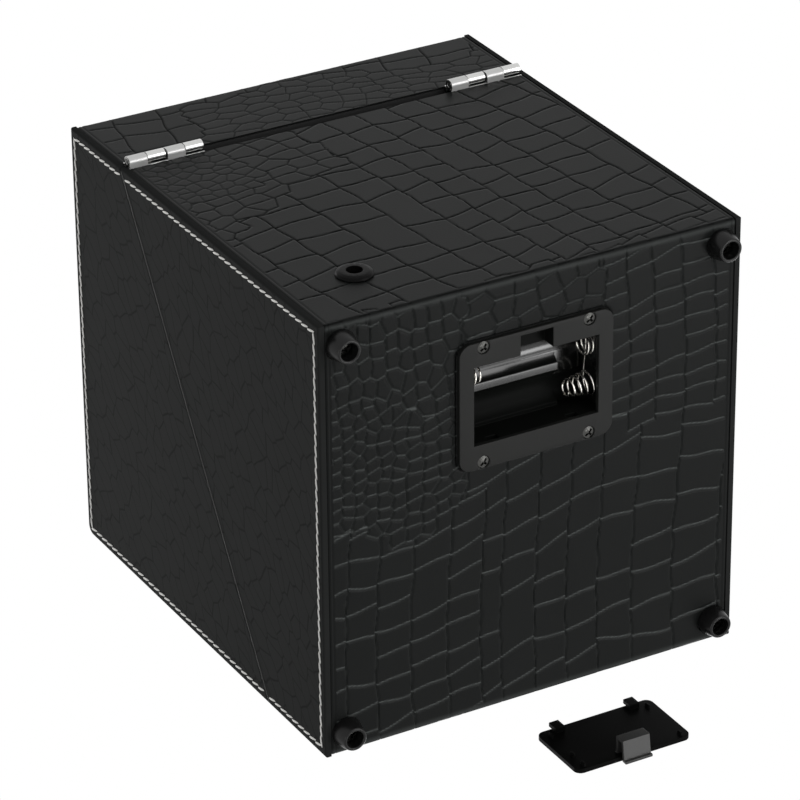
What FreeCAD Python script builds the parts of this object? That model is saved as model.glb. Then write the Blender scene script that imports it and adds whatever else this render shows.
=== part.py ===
import FreeCAD, Part
import math
import os
import sys

import Sketcher
from FreeCAD import Placement, Rotation, Vector

# Watch winder box: a leather-covered box whose lid parts along a slanting plane. The base holds a
# motor-driven turntable on a sloping deck, a battery tray in the underside and a DC inlet at the back.
# Frame: +Z up, front at -Y, origin on the table under the middle of the box. Millimetres.

SIZES = {
    # box and its walls
    "box_width": 180.0,
    "box_depth": 180.0,
    "box_height": 200.0,
    "board": 6.0,
    "wrap": 1.0,
    "panel": 2.5,
    "edge_round": 1.5,
    "panel_round": 0.9,
    "lid_front_round": 4.0,
    # slanting split between lid and base, heights above the underside
    "split_back": 157.2,
    "split_front": 44.6,
    "split_gap": 0.4,
    "seam_drop": 3.2,
    "seam_rise": 2.7,
    # liner with the lip that the lid closes over, and the lid's lining
    "liner": 1.2,
    "liner_clear": 0.8,
    "lip": 7.0,
    "lining": 0.8,
    "lining_clear": 2.0,
    # feet
    "foot_height": 7.0,
    "foot_base_dia": 12.6,
    "foot_tip_dia": 9.4,
    "foot_bore_dia": 7.0,
    "foot_floor": 1.6,
    "foot_inset": 9.0,
    "foot_screw_head_dia": 5.6,
    "foot_screw_head": 1.8,
    "foot_screw_dia": 2.8,
    "foot_screw_length": 7.0,
    # hinges
    "hinge_length": 32.4,
    "hinge_inset": 2.8,
    "hinge_axis_out": 1.7,
    "hinge_axis_drop": 0.2,
    "barrel_dia": 4.4,
    "hinge_pin_dia": 1.6,
    "leaf": 0.9,
    "leaf_depth": 4.2,
    "knuckle_gap": 0.3,
    "hinge_screw_head_dia": 3.0,
    "hinge_screw_head": 0.7,
    "hinge_screw_dia": 1.8,
    "hinge_screw_length": 8.0,
    # DC inlet
    "jack_inset": 32.4,
    "jack_height": 31.4,
    "jack_flange_dia": 14.6,
    "jack_flange": 1.8,
    "jack_bore_dia": 6.3,
    "jack_barrel_dia": 9.5,
    "jack_barrel": 13.5,
    "jack_bore": 10.0,
    "jack_pin_dia": 2.0,
    "jack_nut_flats": 13.0,
    "jack_nut": 2.5,
    # battery tray for two AA cells
    "tray_back": 48.2,
    "tray_width": 66.0,
    "tray_depth": 52.4,
    "tray_corner": 5.0,
    "flange": 2.0,
    "opening_width": 53.4,
    "opening_depth": 32.4,
    "opening_corner": 2.5,
    "bay_length": 59.0,
    "cell_pitch": 16.2,
    "cell_bore": 15.0,
    "cell_axis": 7.4,
    "ridge_top": 11.0,
    "ridge_gap": 12.5,
    "tray_wall": 1.6,
    "hook_wall": 3.0,
    "hook_pitch": 34.4,
    "hook_width": 4.6,
    "hook_slot": 1.8,
    "latch_notch_width": 13.8,
    "latch_notch_reach": 8.2,
    "latch_notch": 6.0,
    "tray_screw_x": 45.4,
    "tray_screw_y": 47.4,
    "tray_screw_head_dia": 4.8,
    "tray_screw_head": 1.3,
    "tray_screw_dia": 2.4,
    "tray_screw_length": 6.5,
    # battery contacts
    "wire": 0.8,
    "coil_base_dia": 10.0,
    "coil_tip_dia": 6.0,
    "short_coil_dia": 7.0,
    "contact_length": 9.0,
    "bridge_length": 11.5,
    "short_length": 4.0,
    "contact_turns": 4.0,
    "bridge_turns": 4.5,
    "short_turns": 2.0,
    "contact_plate": 0.5,
    "contact_plate_width": 11.0,
    # battery cover, standing apart in front of the box
    "cover": 2.0,
    "cover_clear": 0.45,
    "cover_corner": 3.2,
    "cover_x": -44.7,
    "cover_ahead": 40.4,
    "latch_width": 12.4,
    "latch_height": 7.2,
    "latch_leg": 1.2,
    "latch_bow": 4.4,
    "latch_lip": 3.2,
    "hook_rise": 2.2,
    "hook_reach": 1.5,
    "nub": 0.9,
    "nub_length": 2.6,
    "nub_height": 1.4,
    # deck
    "deck_drop": 10.0,
    "deck": 5.0,
    "deck_clear": 0.5,
    "batten": 8.0,
    "batten_length": 150.0,
    # turntable and cushion, along the axis square to the deck
    "well_dia": 98.0,
    "cup_dia": 94.0,
    "cup_wall": 2.0,
    "cup_rim_dia": 104.0,
    "cup_rim": 2.0,
    "rim_lift": 0.6,
    "cup_depth": 36.0,
    "cup_floor": 2.5,
    "hub_dia": 16.0,
    "hub": 9.0,
    "hub_gap": 3.0,
    "hub_web": 1.6,
    "shaft_dia": 5.0,
    "hub_screw_head_dia": 5.6,
    "hub_screw_head": 1.8,
    "hub_screw_dia": 2.8,
    "hub_screw_length": 8.0,
    "cushion_length": 80.0,
    "cushion_width": 56.0,
    "cushion_height": 46.0,
    "cushion_corner": 16.0,
    "cushion_draw": 1.6,
    "cushion_clear": 0.3,
    # gear frame
    "plate": 2.5,
    "gear_space": 14.0,
    "plate_gap": 3.5,
    "top_plate_right": 52.0,
    "top_plate_half": 50.0,
    "low_plate_left": 62.0,
    "low_plate_right": 34.0,
    "low_plate_half": 42.0,
    "plate_corner": 8.0,
    "spacer_x": 44.0,
    "spacer_y": 42.0,
    "spacer_dia": 7.0,
    "frame_screw_dia": 3.0,
    "frame_screw_bite": 4.0,
    "frame_screw_head_dia": 5.6,
    "frame_screw_head": 1.8,
    "pillar_right": 24.0,
    "pillar_right_y": 34.0,
    "pillar_left": 54.0,
    "pillar_left_y": 30.0,
    "pillar_dia": 6.0,
    "bush_dia": 8.0,
    "bush_flange_dia": 11.0,
    "bush_flange": 1.0,
    "shaft_fit": 0.03,
    "press_fit": 0.02,
    # gears
    "fast_share": 0.8,
    "output_teeth": 68,
    "idler_pinion_teeth": 14,
    "idler_teeth": 46,
    "motor_teeth": 12,
    "output_face": 5.0,
    "idler_face": 3.5,
    "gear_lift": 1.5,
    "layer_gap": 1.6,
    "idler_axle_dia": 3.0,
    # motor
    "motor_dia": 24.4,
    "motor_length": 30.0,
    "motor_boss_dia": 8.0,
    "motor_shaft_dia": 2.0,
    "motor_screw_spread": 17.0,
    "motor_screw_dia": 2.4,
    "motor_screw_head_dia": 4.4,
    "motor_screw_head": 1.3,
    "motor_screw_bite": 3.0,
    # control board, mode switch and knob
    "switch_inset": 25.5,
    "switch_up": 21.3,
    "pcb_width": 44.0,
    "pcb_depth": 30.0,
    "pcb": 1.6,
    "pcb_drop": 14.0,
    "pcb_inset": 31.5,
    "chip_inset": 8.0,
    "chip_width": 8.0,
    "chip_depth": 10.0,
    "plug_width": 10.0,
    "plug_depth": 5.0,
    "standoff_dia": 5.0,
    "standoff_inset": 4.0,
    "switch_side": 12.0,
    "switch_body": 8.0,
    "switch_bush_dia": 9.0,
    "switch_shaft_dia": 6.0,
    "knob_dia": 15.0,
    "knob_height": 9.0,
    "knob_lift": 0.6,
    "knob_round": 1.2,
    "knob_shaft_bite": 6.0,
    # general running clearance around a loose fit
    "loose": 0.15,
}

doc = FreeCAD.newDocument("watch_winder_box")
sheet = doc.addObject("Spreadsheet::Sheet", "Sizes")
for row, (alias, number) in enumerate(SIZES.items(), start=1):
    sheet.set(f"A{row}", str(number))
    sheet.setAlias(f"A{row}", alias)
doc.recompute()


class Size:
    """A length worked out from the sheet: its value now, and the expression that gives it."""

    def __init__(self, value, text):
        self.value = float(value)
        self.text = text

    def __add__(self, other):
        other = as_size(other)
        return Size(self.value + other.value, f"({self.text} + {other.text})")

    def __sub__(self, other):
        other = as_size(other)
        return Size(self.value - other.value, f"({self.text} - {other.text})")

    def __mul__(self, other):
        other = as_size(other)
        return Size(self.value * other.value, f"({self.text} * {other.text})")

    def __truediv__(self, other):
        other = as_size(other)
        return Size(self.value / other.value, f"({self.text} / {other.text})")

    def __neg__(self):
        return Size(-self.value, f"(0 - {self.text})")

    def __radd__(self, other):
        return as_size(other) + self

    def __rsub__(self, other):
        return as_size(other) - self

    def __rmul__(self, other):
        return as_size(other) * self

    def root(self):
        return Size(math.sqrt(self.value), f"sqrt({self.text})")


def as_size(thing):
    return thing if isinstance(thing, Size) else Size(thing, f"{float(thing)}")


class Sheet:
    """The sheet's cells as sizes, by name."""

    def __getattr__(self, alias):
        return Size(SIZES[alias], f"Sizes.{alias}")


d = Sheet()


def bind(thing, path, length):
    thing.setExpression(path, as_size(length).text)


# Bodies, sketches and features

def new_body(label):
    body = doc.addObject("PartDesign::Body", label)
    body.Label = label
    return body


def sketch_on(body, role, lift=0):
    sketch = body.newObject("Sketcher::SketchObject", f"{body.Name}_sketch")
    origin_plane = next(plane for plane in body.Origin.OriginFeatures if plane.Role == role)
    sketch.AttachmentSupport = [(origin_plane, "")]
    sketch.MapMode = "FlatFace"
    bind(sketch, "AttachmentOffset.Base.z", lift)
    return sketch


def hold_point(sketch, edge, point, x, y):
    for kind, length in (("DistanceX", as_size(x)), ("DistanceY", as_size(y))):
        index = sketch.addConstraint(Sketcher.Constraint(kind, -1, 1, edge, point, length.value))
        bind(sketch, f"Constraints[{index}]", length)


def polygon(sketch, corners):
    first = sketch.GeometryCount
    points = [Vector(as_size(x).value, as_size(y).value, 0) for x, y in corners]
    for index, point in enumerate(points):
        sketch.addGeometry(Part.LineSegment(point, points[(index + 1) % len(points)]))
    for index in range(len(points)):
        following = first + (index + 1) % len(points)
        sketch.addConstraint(Sketcher.Constraint("Coincident", first + index, 2, following, 1))
    for index, (x, y) in enumerate(corners):
        hold_point(sketch, first + index, 1, x, y)
    return sketch


def rectangle(sketch, left, right, low, high):
    return polygon(sketch, [(left, low), (right, low), (right, high), (left, high)])


def circle(sketch, x, y, radius):
    centre = Vector(as_size(x).value, as_size(y).value, 0)
    edge = sketch.addGeometry(Part.Circle(centre, Vector(0, 0, 1), as_size(radius).value))
    index = sketch.addConstraint(Sketcher.Constraint("Radius", edge, as_size(radius).value))
    bind(sketch, f"Constraints[{index}]", radius)
    hold_point(sketch, edge, 3, x, y)
    return sketch


def feature(body, kind, sketch):
    made = body.newObject(f"PartDesign::{kind}", f"{body.Name}_{kind}")
    made.Profile = sketch
    return made


def pad(body, sketch, length, both_ways=False):
    made = feature(body, "Pad", sketch)
    bind(made, "Length", length)
    if both_ways:
        made.SideType = "Symmetric"
    return made


def pocket(body, sketch, length=None, both_ways=False, forward=False):
    made = feature(body, "Pocket", sketch)
    if length is None:
        made.Type = "ThroughAll"
    else:
        bind(made, "Length", length)
    if both_ways:
        made.SideType = "Symmetric"
    made.Reversed = forward
    return made


def lathe(label, profile):
    """A body turned about its own Z axis from a profile of radius and height pairs."""
    body = new_body(label)
    sketch = polygon(sketch_on(body, "XZ_Plane"), profile)
    made = feature(body, "Revolution", sketch)
    made.ReferenceAxis = (sketch, ["V_Axis"])
    made.Angle = 360
    return body


def round_edges(body, radius, chosen):
    """Fillets the edges of a body whose middle point and box satisfy a rule."""
    doc.recompute()
    tip = body.Tip
    names = [f"Edge{i}" for i, edge in enumerate(tip.Shape.Edges, start=1) if chosen(edge)]
    made = body.newObject("PartDesign::Fillet", f"{body.Name}_Fillet")
    made.Base = (tip, names)
    bind(made, "Radius", radius)
    return made


def near(a, b):
    return abs(a - as_size(b).value) < 1e-4


def edge_at(**where):
    """A rule for edges that lie wholly at the coordinates given, such as x=90."""
    def rule(edge):
        return all(near(v.Point[("x", "y", "z").index(axis)], at)
                   for axis, at in where.items() for v in edge.Vertexes)
    return rule


def upright(edge):
    box = edge.BoundBox
    return box.XLength < 1e-4 and box.YLength < 1e-4


def place(thing, x=0, y=0, z=0, axis=None, angle=0):
    if axis is not None:
        thing.Placement = Placement(Vector(), Rotation(axis, angle))
    bind(thing, "Placement.Base.x", x)
    bind(thing, "Placement.Base.y", y)
    bind(thing, "Placement.Base.z", z)
    return thing


def spot(x, y, z):
    return Vector(as_size(x).value, as_size(y).value, as_size(z).value)


def group(label, pattern, spots, frame=None):
    """One node holding a copy of a pattern piece at every spot."""
    doc.recompute()
    copies = []
    for at in spots:
        copy = pattern.Shape.copy()
        copy.Placement = Placement(at, Rotation()).multiply(copy.Placement)
        copies.append(copy)
    node = doc.addObject("Part::Feature", label)
    node.Label = label
    node.Shape = Part.makeCompound(copies)
    if frame is not None:
        node.Placement = frame
    return node


# Main planes of the box

half_w = d.box_width / 2
half_d = d.box_depth / 2
carcass_x = half_w - d.panel
inner_x = carcass_x - d.board
core_y = half_d - d.wrap
inner_y = core_y - d.board
under = d.foot_height
core_z = under + d.wrap
floor_z = core_z + d.board
top_z = under + d.box_height
lid_core_z = top_z - d.wrap
ceiling_z = lid_core_z - d.board

slope = (d.split_back - d.split_front) / d.box_depth
stretch = (1 + slope * slope).root()
split_mid = under + (d.split_back + d.split_front) / 2
seam_base = under + d.split_back - d.seam_drop
seam_lid = under + d.split_back + d.seam_rise


def split_plane(y, lift=0):
    """Height of the plane parallel to the split, lifted square to it, at a place y."""
    return split_mid + slope * y + stretch * lift


def base_rim(y):
    return split_plane(y, -(d.split_gap / 2))


def lid_rim(y):
    return split_plane(y, d.split_gap / 2)


rim_flat_y = (seam_base - base_rim(0)) / slope

# Frame of the deck: X across, Y up the slope, Z square to the deck

deck_angle = math.degrees(math.atan(slope.value))
deck_z = split_plane(0, -d.deck_drop)
deck_frame = Placement(spot(0, 0, deck_z), Rotation(Vector(1, 0, 0), deck_angle))


def on_deck(body, x=Size(0, "0"), y=Size(0, "0")):
    """Sets a body's own origin on the deck's top face, its Z axis square to the deck."""
    body.Placement = deck_frame
    body.setExpression("Placement.Rotation.Angle", f"atan({slope.text})")
    bind(body, "Placement.Base.x", x)
    bind(body, "Placement.Base.y", y / stretch)
    bind(body, "Placement.Base.z", deck_z + y * slope / stretch)
    return body


def screw(label, head_dia, head, shank_dia, length, head_up=True):
    """A screw along Z with the underside of its head at the origin."""
    side = 1 if head_up else -1
    return lathe(label, [(0, -side * length), (shank_dia / 2, -side * length), (shank_dia / 2, 0),
                         (head_dia / 2, 0), (head_dia / 2, side * head), (0, side * head)])


# Base carcass: five boards

def tray_hole(sketch):
    """Outline of the hole that the tub of the battery tray passes through, tray centre at y 0."""
    side = d.bay_length / 2 + d.tray_wall + d.loose
    front = -(d.opening_depth / 2) - d.hook_wall - d.loose
    back = d.opening_depth / 2 + d.tray_wall + d.loose
    neck = d.latch_notch_width / 2 + d.tray_wall + d.loose
    end = d.opening_depth / 2 + d.latch_notch_reach + d.tray_wall / 2 + d.loose
    shift = tray_y
    return polygon(sketch, [(-side, shift + front), (side, shift + front), (side, shift + back),
                            (neck, shift + back), (neck, shift + end), (-neck, shift + end),
                            (-neck, shift + back), (-side, shift + back)])


tray_y = half_d - d.tray_back
foot_x = half_w - d.foot_inset
foot_y = half_d - d.foot_inset
foot_spots = [(sx * foot_x, sy * foot_y) for sx in (-1, 1) for sy in (-1, 1)]
tray_spots = [(sx * (d.tray_screw_x / 2), tray_y + sy * (d.tray_screw_y / 2))
              for sx in (-1, 1) for sy in (-1, 1)]


def underside_holes(body, low):
    """Tray hole and screw holes through a layer of the underside that starts at a height."""
    pocket(body, tray_hole(sketch_on(body, "XY_Plane", low)), both_ways=True)
    holes = sketch_on(body, "XY_Plane", low)
    for x, y in foot_spots:
        circle(holes, x, y, d.foot_screw_dia / 2 + d.press_fit)
    for x, y in tray_spots:
        circle(holes, x, y, d.tray_screw_dia / 2 + d.press_fit)
    pocket(body, holes, both_ways=True)


jack_x = half_w - d.jack_inset


def jack_hole(body):
    hole = circle(sketch_on(body, "XZ_Plane", -inner_y), jack_x, under + d.jack_height,
                  d.jack_barrel_dia / 2 + d.loose)
    pocket(body, hole, 2 * (d.board + d.wrap) + 2, both_ways=True)


def hinge_holes(body, height):
    """Screw holes for both hinges in a board edge at a height."""
    holes = sketch_on(body, "XY_Plane", height)
    for x in hinge_screw_x:
        circle(holes, x, hinge_screw_y, d.hinge_screw_dia / 2 + d.press_fit)
    pocket(body, holes, 2 * d.hinge_screw_length + 1, both_ways=True)


hinge_y = half_d + d.hinge_axis_out
hinge_z = under + d.split_back - d.hinge_axis_drop
hinge_starts = [half_w - d.hinge_inset - d.hinge_length, -half_w + d.hinge_inset]
hinge_screw_y = core_y - d.hinge_screw_dia * 0.7
hinge_screw_x = [start + d.hinge_length * share for start in hinge_starts for share in (0.3, 0.7)]

bottom_board = new_body("base_bottom_board")
pad(bottom_board, rectangle(sketch_on(bottom_board, "XY_Plane", core_z),
                            -carcass_x, carcass_x, -core_y, core_y), d.board)
underside_holes(bottom_board, core_z)

base_back = new_body("base_back_board")
pad(base_back, polygon(sketch_on(base_back, "YZ_Plane"),
                       [(inner_y, floor_z), (core_y, floor_z), (core_y, seam_base),
                        (rim_flat_y, seam_base), (inner_y, base_rim(inner_y))]),
    2 * inner_x, both_ways=True)
jack_hole(base_back)
hinge_holes(base_back, seam_base)

base_front = new_body("base_front_board")
pad(base_front, polygon(sketch_on(base_front, "YZ_Plane"),
                        [(-core_y, floor_z), (-inner_y, floor_z), (-inner_y, base_rim(-inner_y)),
                         (-core_y, base_rim(-core_y))]), 2 * inner_x, both_ways=True)

side_profile = [(-core_y, floor_z), (core_y, floor_z), (core_y, seam_base), (rim_flat_y, seam_base),
                (-core_y, base_rim(-core_y))]
for side_name, start in (("left", -carcass_x), ("right", inner_x)):
    base_side = new_body(f"base_side_board_{side_name}")
    pad(base_side, polygon(sketch_on(base_side, "YZ_Plane", start), side_profile), d.board)

# Base covering: embossed leather round front, underside and back, smooth panels on the sides

base_wrap = new_body("base_wrap")
pad(base_wrap, polygon(sketch_on(base_wrap, "YZ_Plane"),
                       [(-half_d, base_rim(-half_d)), (-half_d, under), (half_d, under),
                        (half_d, seam_base), (core_y, seam_base), (core_y, core_z),
                        (-core_y, core_z), (-core_y, base_rim(-core_y))]),
    2 * carcass_x, both_ways=True)
round_edges(base_wrap, d.edge_round, lambda edge: edge_at(y=half_d, z=under)(edge)
            or edge_at(y=-half_d, z=under)(edge))
underside_holes(base_wrap, core_z)
jack_hole(base_wrap)


def side_panel(label, profile, sign):
    """A leather-covered panel on the side of the box, its outer edge softly rounded."""
    body = new_body(label)
    start = carcass_x if sign > 0 else -half_w
    pad(body, polygon(sketch_on(body, "YZ_Plane", start), profile), d.panel)
    return body


def soften_panel(body, sign):
    round_edges(body, d.panel_round, edge_at(x=sign * half_w))


for side_name, sign in (("left", -1), ("right", 1)):
    base_panel = side_panel(f"base_side_panel_{side_name}",
                            [(-half_d, under), (half_d, under), (half_d, base_rim(half_d)),
                             (-half_d, base_rim(-half_d))], sign)
    soften_panel(base_panel, sign)

# Liner of the base: a ring on the deck whose lip stands above the rim

liner_x = inner_x - d.liner_clear
liner_y = inner_y - d.liner_clear
liner = new_body("base_liner")
pad(liner, polygon(sketch_on(liner, "YZ_Plane"),
                   [(-liner_y, split_plane(-liner_y, -d.deck_drop)),
                    (liner_y, split_plane(liner_y, -d.deck_drop)),
                    (liner_y, split_plane(liner_y, d.lip)),
                    (-liner_y, split_plane(-liner_y, d.lip))]), 2 * liner_x, both_ways=True)
pocket(liner, rectangle(sketch_on(liner, "XY_Plane", under), d.liner - liner_x, liner_x - d.liner,
                        d.liner - liner_y, liner_y - d.liner), both_ways=True)

# Feet: hollow rubber cones, each on one screw

foot = lathe("foot_pattern", [(d.foot_screw_dia / 2 + d.loose, 0), (d.foot_base_dia / 2, 0),
                              (d.foot_tip_dia / 2, -d.foot_height),
                              (d.foot_bore_dia / 2, -d.foot_height),
                              (d.foot_bore_dia / 2, -d.foot_floor),
                              (d.foot_screw_dia / 2 + d.loose, -d.foot_floor)])
group("feet", foot, [spot(x, y, under) for x, y in foot_spots])
foot_screw = screw("foot_screw_pattern", d.foot_screw_head_dia, d.foot_screw_head, d.foot_screw_dia,
                   d.foot_screw_length, head_up=False)
group("foot_screws", foot_screw, [spot(x, y, under - d.foot_floor) for x, y in foot_spots])

# Battery tray: flange on the underside, tub with two troughs inside, origin on the underside

tray = place(new_body("battery_tray"), y=tray_y, z=under)
half_open = d.opening_depth / 2
tub_side = d.bay_length / 2 + d.tray_wall
trough_floor = d.cell_axis + d.cell_bore / 2
pad(tray, rectangle(sketch_on(tray, "XY_Plane", -d.flange), -(d.tray_width / 2), d.tray_width / 2,
                    -(d.tray_depth / 2), d.tray_depth / 2), d.flange)
round_edges(tray, d.tray_corner, upright)
pad(tray, rectangle(sketch_on(tray, "XY_Plane"), -tub_side, tub_side, -half_open - d.hook_wall,
                    half_open + d.tray_wall), trough_floor + d.tray_wall)
notch_half = d.latch_notch_width / 2
notch_end = half_open + d.latch_notch_reach
pad(tray, rectangle(sketch_on(tray, "XY_Plane"), -notch_half - d.tray_wall, notch_half + d.tray_wall,
                    half_open, notch_end + d.tray_wall / 2), d.latch_notch)
opening = rectangle(sketch_on(tray, "XY_Plane", -d.flange), -(d.opening_width / 2),
                    d.opening_width / 2, -half_open, half_open)
pocket(tray, opening, d.flange + d.ridge_top, forward=True)
pocket(tray, rectangle(sketch_on(tray, "XY_Plane"), -(d.bay_length / 2), d.bay_length / 2,
                       -half_open, half_open), d.ridge_top, forward=True)
troughs = sketch_on(tray, "YZ_Plane")
for sign in (-1, 1):
    circle(troughs, sign * (d.cell_pitch / 2), d.cell_axis, d.cell_bore / 2)
pocket(tray, troughs, d.bay_length, both_ways=True)
pocket(tray, rectangle(sketch_on(tray, "XY_Plane"), -(d.bay_length / 2),
                       d.ridge_gap - d.bay_length / 2, -half_open, half_open),
       trough_floor - d.tray_wall / 2, forward=True)
pocket(tray, rectangle(sketch_on(tray, "XY_Plane", -d.flange), -notch_half, notch_half, 0, notch_end),
       d.latch_notch, forward=True)
slots = sketch_on(tray, "XY_Plane")
for sign in (-1, 1):
    middle = sign * (d.hook_pitch / 2)
    rectangle(slots, middle - d.hook_width / 2, middle + d.hook_width / 2, -half_open - d.hook_slot,
              -half_open + d.hook_slot)
pocket(tray, slots, d.hook_rise + 0.6, forward=True)
tray_holes = sketch_on(tray, "XY_Plane")
for sx in (-1, 1):
    for sy in (-1, 1):
        circle(tray_holes, sx * (d.tray_screw_x / 2), sy * (d.tray_screw_y / 2),
               d.tray_screw_dia / 2 + d.loose)
pocket(tray, tray_holes, 2 * d.flange + 1, both_ways=True)
counterbores = sketch_on(tray, "XY_Plane", -d.flange)
for sx in (-1, 1):
    for sy in (-1, 1):
        circle(counterbores, sx * (d.tray_screw_x / 2), sy * (d.tray_screw_y / 2),
               d.tray_screw_head_dia / 2 + d.loose)
pocket(tray, counterbores, d.tray_screw_head, forward=True)

tray_screw = screw("tray_screw_pattern", d.tray_screw_head_dia, d.tray_screw_head, d.tray_screw_dia,
                   d.tray_screw_length, head_up=False)
screw_seat = under - d.flange + d.tray_screw_head
group("tray_screws", tray_screw, [spot(x, y, screw_seat) for x, y in tray_spots])


# Battery contacts: coils of one wire each, wound along X

def biarc(start, start_way, end, end_way):
    """Two arcs that join two points with the given directions, meeting smoothly."""
    gap = end - start
    ways = start_way + end_way
    spread = 2 * (1 - start_way.dot(end_way))
    along = gap.dot(ways)
    if spread < 1e-9:
        reach = gap.dot(gap) / (2 * along)
    else:
        reach = (math.sqrt(along * along + spread * gap.dot(gap)) - along) / spread
    joint = (start + end + (start_way - end_way) * reach) * 0.5
    return [arc_from(start, start_way, joint), arc_from(end, end_way * -1, joint)]


def arc_from(start, way, end):
    chord = end - start
    across = way - chord * (way.dot(chord) / chord.dot(chord))
    if across.Length < 1e-9:
        return Part.LineSegment(start, end)
    across.normalize()
    turn = way.getAngle(chord)
    middle = (start + end) * 0.5 + across * (chord.Length / 2 * math.tan(turn / 2))
    return Part.Arc(start, middle, end)


def coil_points(start, length, base_radius, tip_radius, turns, phase, hand):
    """Quarter-turn points and directions of a conical coil along X from its base at start."""
    steps = int(round(turns * 4))
    points = []
    for step in range(steps + 1):
        share = step / steps
        angle = phase + hand * step * math.pi / 2
        radius = base_radius + (tip_radius - base_radius) * share
        rate = (tip_radius - base_radius) / (turns * 2 * math.pi)
        out = Vector(0, math.cos(angle), math.sin(angle))
        round_way = Vector(0, -math.sin(angle), math.cos(angle)) * hand
        climb = Vector(length / (turns * 2 * math.pi), 0, 0)
        way = round_way * radius + out * rate + climb
        points.append((start + out * radius + Vector(length * share, 0, 0), way.normalize()))
    return points


def wire_tube(label, points, wire):
    """One unbroken tube of wire through points with their directions; prints its least gap."""
    curves = []
    for (start, start_way), (end, end_way) in zip(points, points[1:]):
        curves += biarc(start, start_way, end, end_way)
    path = Part.Wire(Part.sortEdges([curve.toShape() for curve in curves])[0])
    begin, way = points[0]
    profile = Part.Wire(Part.Circle(begin, way, wire / 2).toShape())
    shell = Part.BRepOffsetAPI.MakePipeShell(path)
    shell.add(profile)
    shell.build()
    shell.makeSolid()
    node = doc.addObject("Part::Feature", label)
    node.Label = label
    node.Shape = shell.shape()
    spaced = path.discretize(Distance=wire / 4)
    least = min(a.distanceToPoint(b) for i, a in enumerate(spaced) for b in spaced[i + 12:])
    print(f"{label}: least gap between turns {least - wire:.2f} mm, wire {path.Length:.0f} mm")
    return node


wire = d.wire.value
bay_end = d.bay_length.value / 2 - wire / 2 - 0.1
cell_z = under + d.cell_axis
back_bay = tray_y + d.cell_pitch / 2
front_bay = tray_y - d.cell_pitch / 2
contact = coil_points(spot(bay_end, back_bay, cell_z), -d.contact_length.value,
                      d.coil_base_dia.value / 2, d.coil_tip_dia.value / 2, d.contact_turns.value,
                      0.0, 1)
wire_tube("contact_spring", contact, wire)

long_coil = coil_points(spot(-bay_end, front_bay, cell_z), d.bridge_length.value,
                        d.coil_base_dia.value / 2, d.coil_tip_dia.value / 2, d.bridge_turns.value,
                        math.pi / 2, 1)
short_coil = coil_points(spot(-bay_end, back_bay, cell_z), d.short_length.value,
                         d.short_coil_dia.value / 2, d.short_coil_dia.value / 2,
                         d.short_turns.value, math.pi / 2, -1)
across = Vector(0, 1, 0)
unwinding = [(point, way * -1) for point, way in reversed(long_coil[1:])]
bridge = unwinding + [(long_coil[0][0], across), (short_coil[0][0], across)] + short_coil[1:]
wire_tube("contact_bridge", bridge, wire)

plate_x = d.bay_length / 2 - d.contact_plate
contact_plate = place(new_body("contact_plate"), y=tray_y, z=under)
plate_half = d.contact_plate_width / 2
plate_y = -(d.cell_pitch / 2)
pad(contact_plate, rectangle(sketch_on(contact_plate, "YZ_Plane", plate_x), plate_y - plate_half,
                             plate_y + plate_half, d.cell_axis - plate_half,
                             d.cell_axis + plate_half * 0.6), d.contact_plate)
pad(contact_plate, circle(sketch_on(contact_plate, "YZ_Plane", plate_x - d.contact_plate), plate_y,
                          d.cell_axis, plate_half / 2), d.contact_plate)

# Battery cover: plate with two hooks and a sprung latch, its inner face up in its own frame

cover = new_body("battery_cover")
cover_half = d.opening_width / 2 - d.cover_clear
cover_edge = d.opening_depth / 2 - d.cover_clear
pad(cover, rectangle(sketch_on(cover, "XY_Plane"), -cover_half, cover_half, -cover_edge, cover_edge),
    d.cover)
round_edges(cover, d.cover_corner, upright)
latch_top = d.cover + d.latch_height
latch_in = d.latch_bow - cover_edge
leg = d.latch_leg
pad(cover, polygon(sketch_on(cover, "YZ_Plane"),
                   [(latch_in, d.cover), (latch_in, latch_top), (-cover_edge - leg / 2, latch_top),
                    (-cover_edge - leg * 1.5, leg), (-cover_edge - d.latch_lip, leg),
                    (-cover_edge - d.latch_lip, 0), (-cover_edge - leg / 2, 0),
                    (leg / 2 - cover_edge, latch_top - leg), (latch_in - leg, latch_top - leg),
                    (latch_in - leg, d.cover)]), d.latch_width, both_ways=True)
hook_top = d.cover + d.hook_rise
for sign in (-1, 1):
    hook = polygon(sketch_on(cover, "YZ_Plane", sign * (d.hook_pitch / 2)),
                   [(cover_edge - 4, d.cover), (cover_edge - 1, d.cover),
                    (cover_edge - 1, d.cover + 2 * d.loose),
                    (cover_edge + d.hook_reach, d.cover + 2 * d.loose),
                    (cover_edge + d.hook_reach, hook_top), (cover_edge - 4, hook_top)])
    pad(cover, hook, d.hook_width - 2 * d.loose, both_ways=True)
nubs = sketch_on(cover, "XY_Plane", d.cover)
for sign, share in ((-1, 0.67), (-1, -0.35), (-1, -0.84), (1, 0.67), (1, -0.84)):
    nub_x = sign * (cover_half - 4)
    nub_y = cover_edge * share
    rectangle(nubs, nub_x - d.nub / 2, nub_x + d.nub / 2, nub_y - d.nub_length / 2,
              nub_y + d.nub_length / 2)
pad(cover, nubs, d.nub_height)
place(cover, d.cover_x, -half_d - d.cover_ahead, cover_edge + d.latch_lip, Vector(0, 1, 1), 180)

# DC inlet in the back, turned about its own axis with +Z outward

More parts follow.
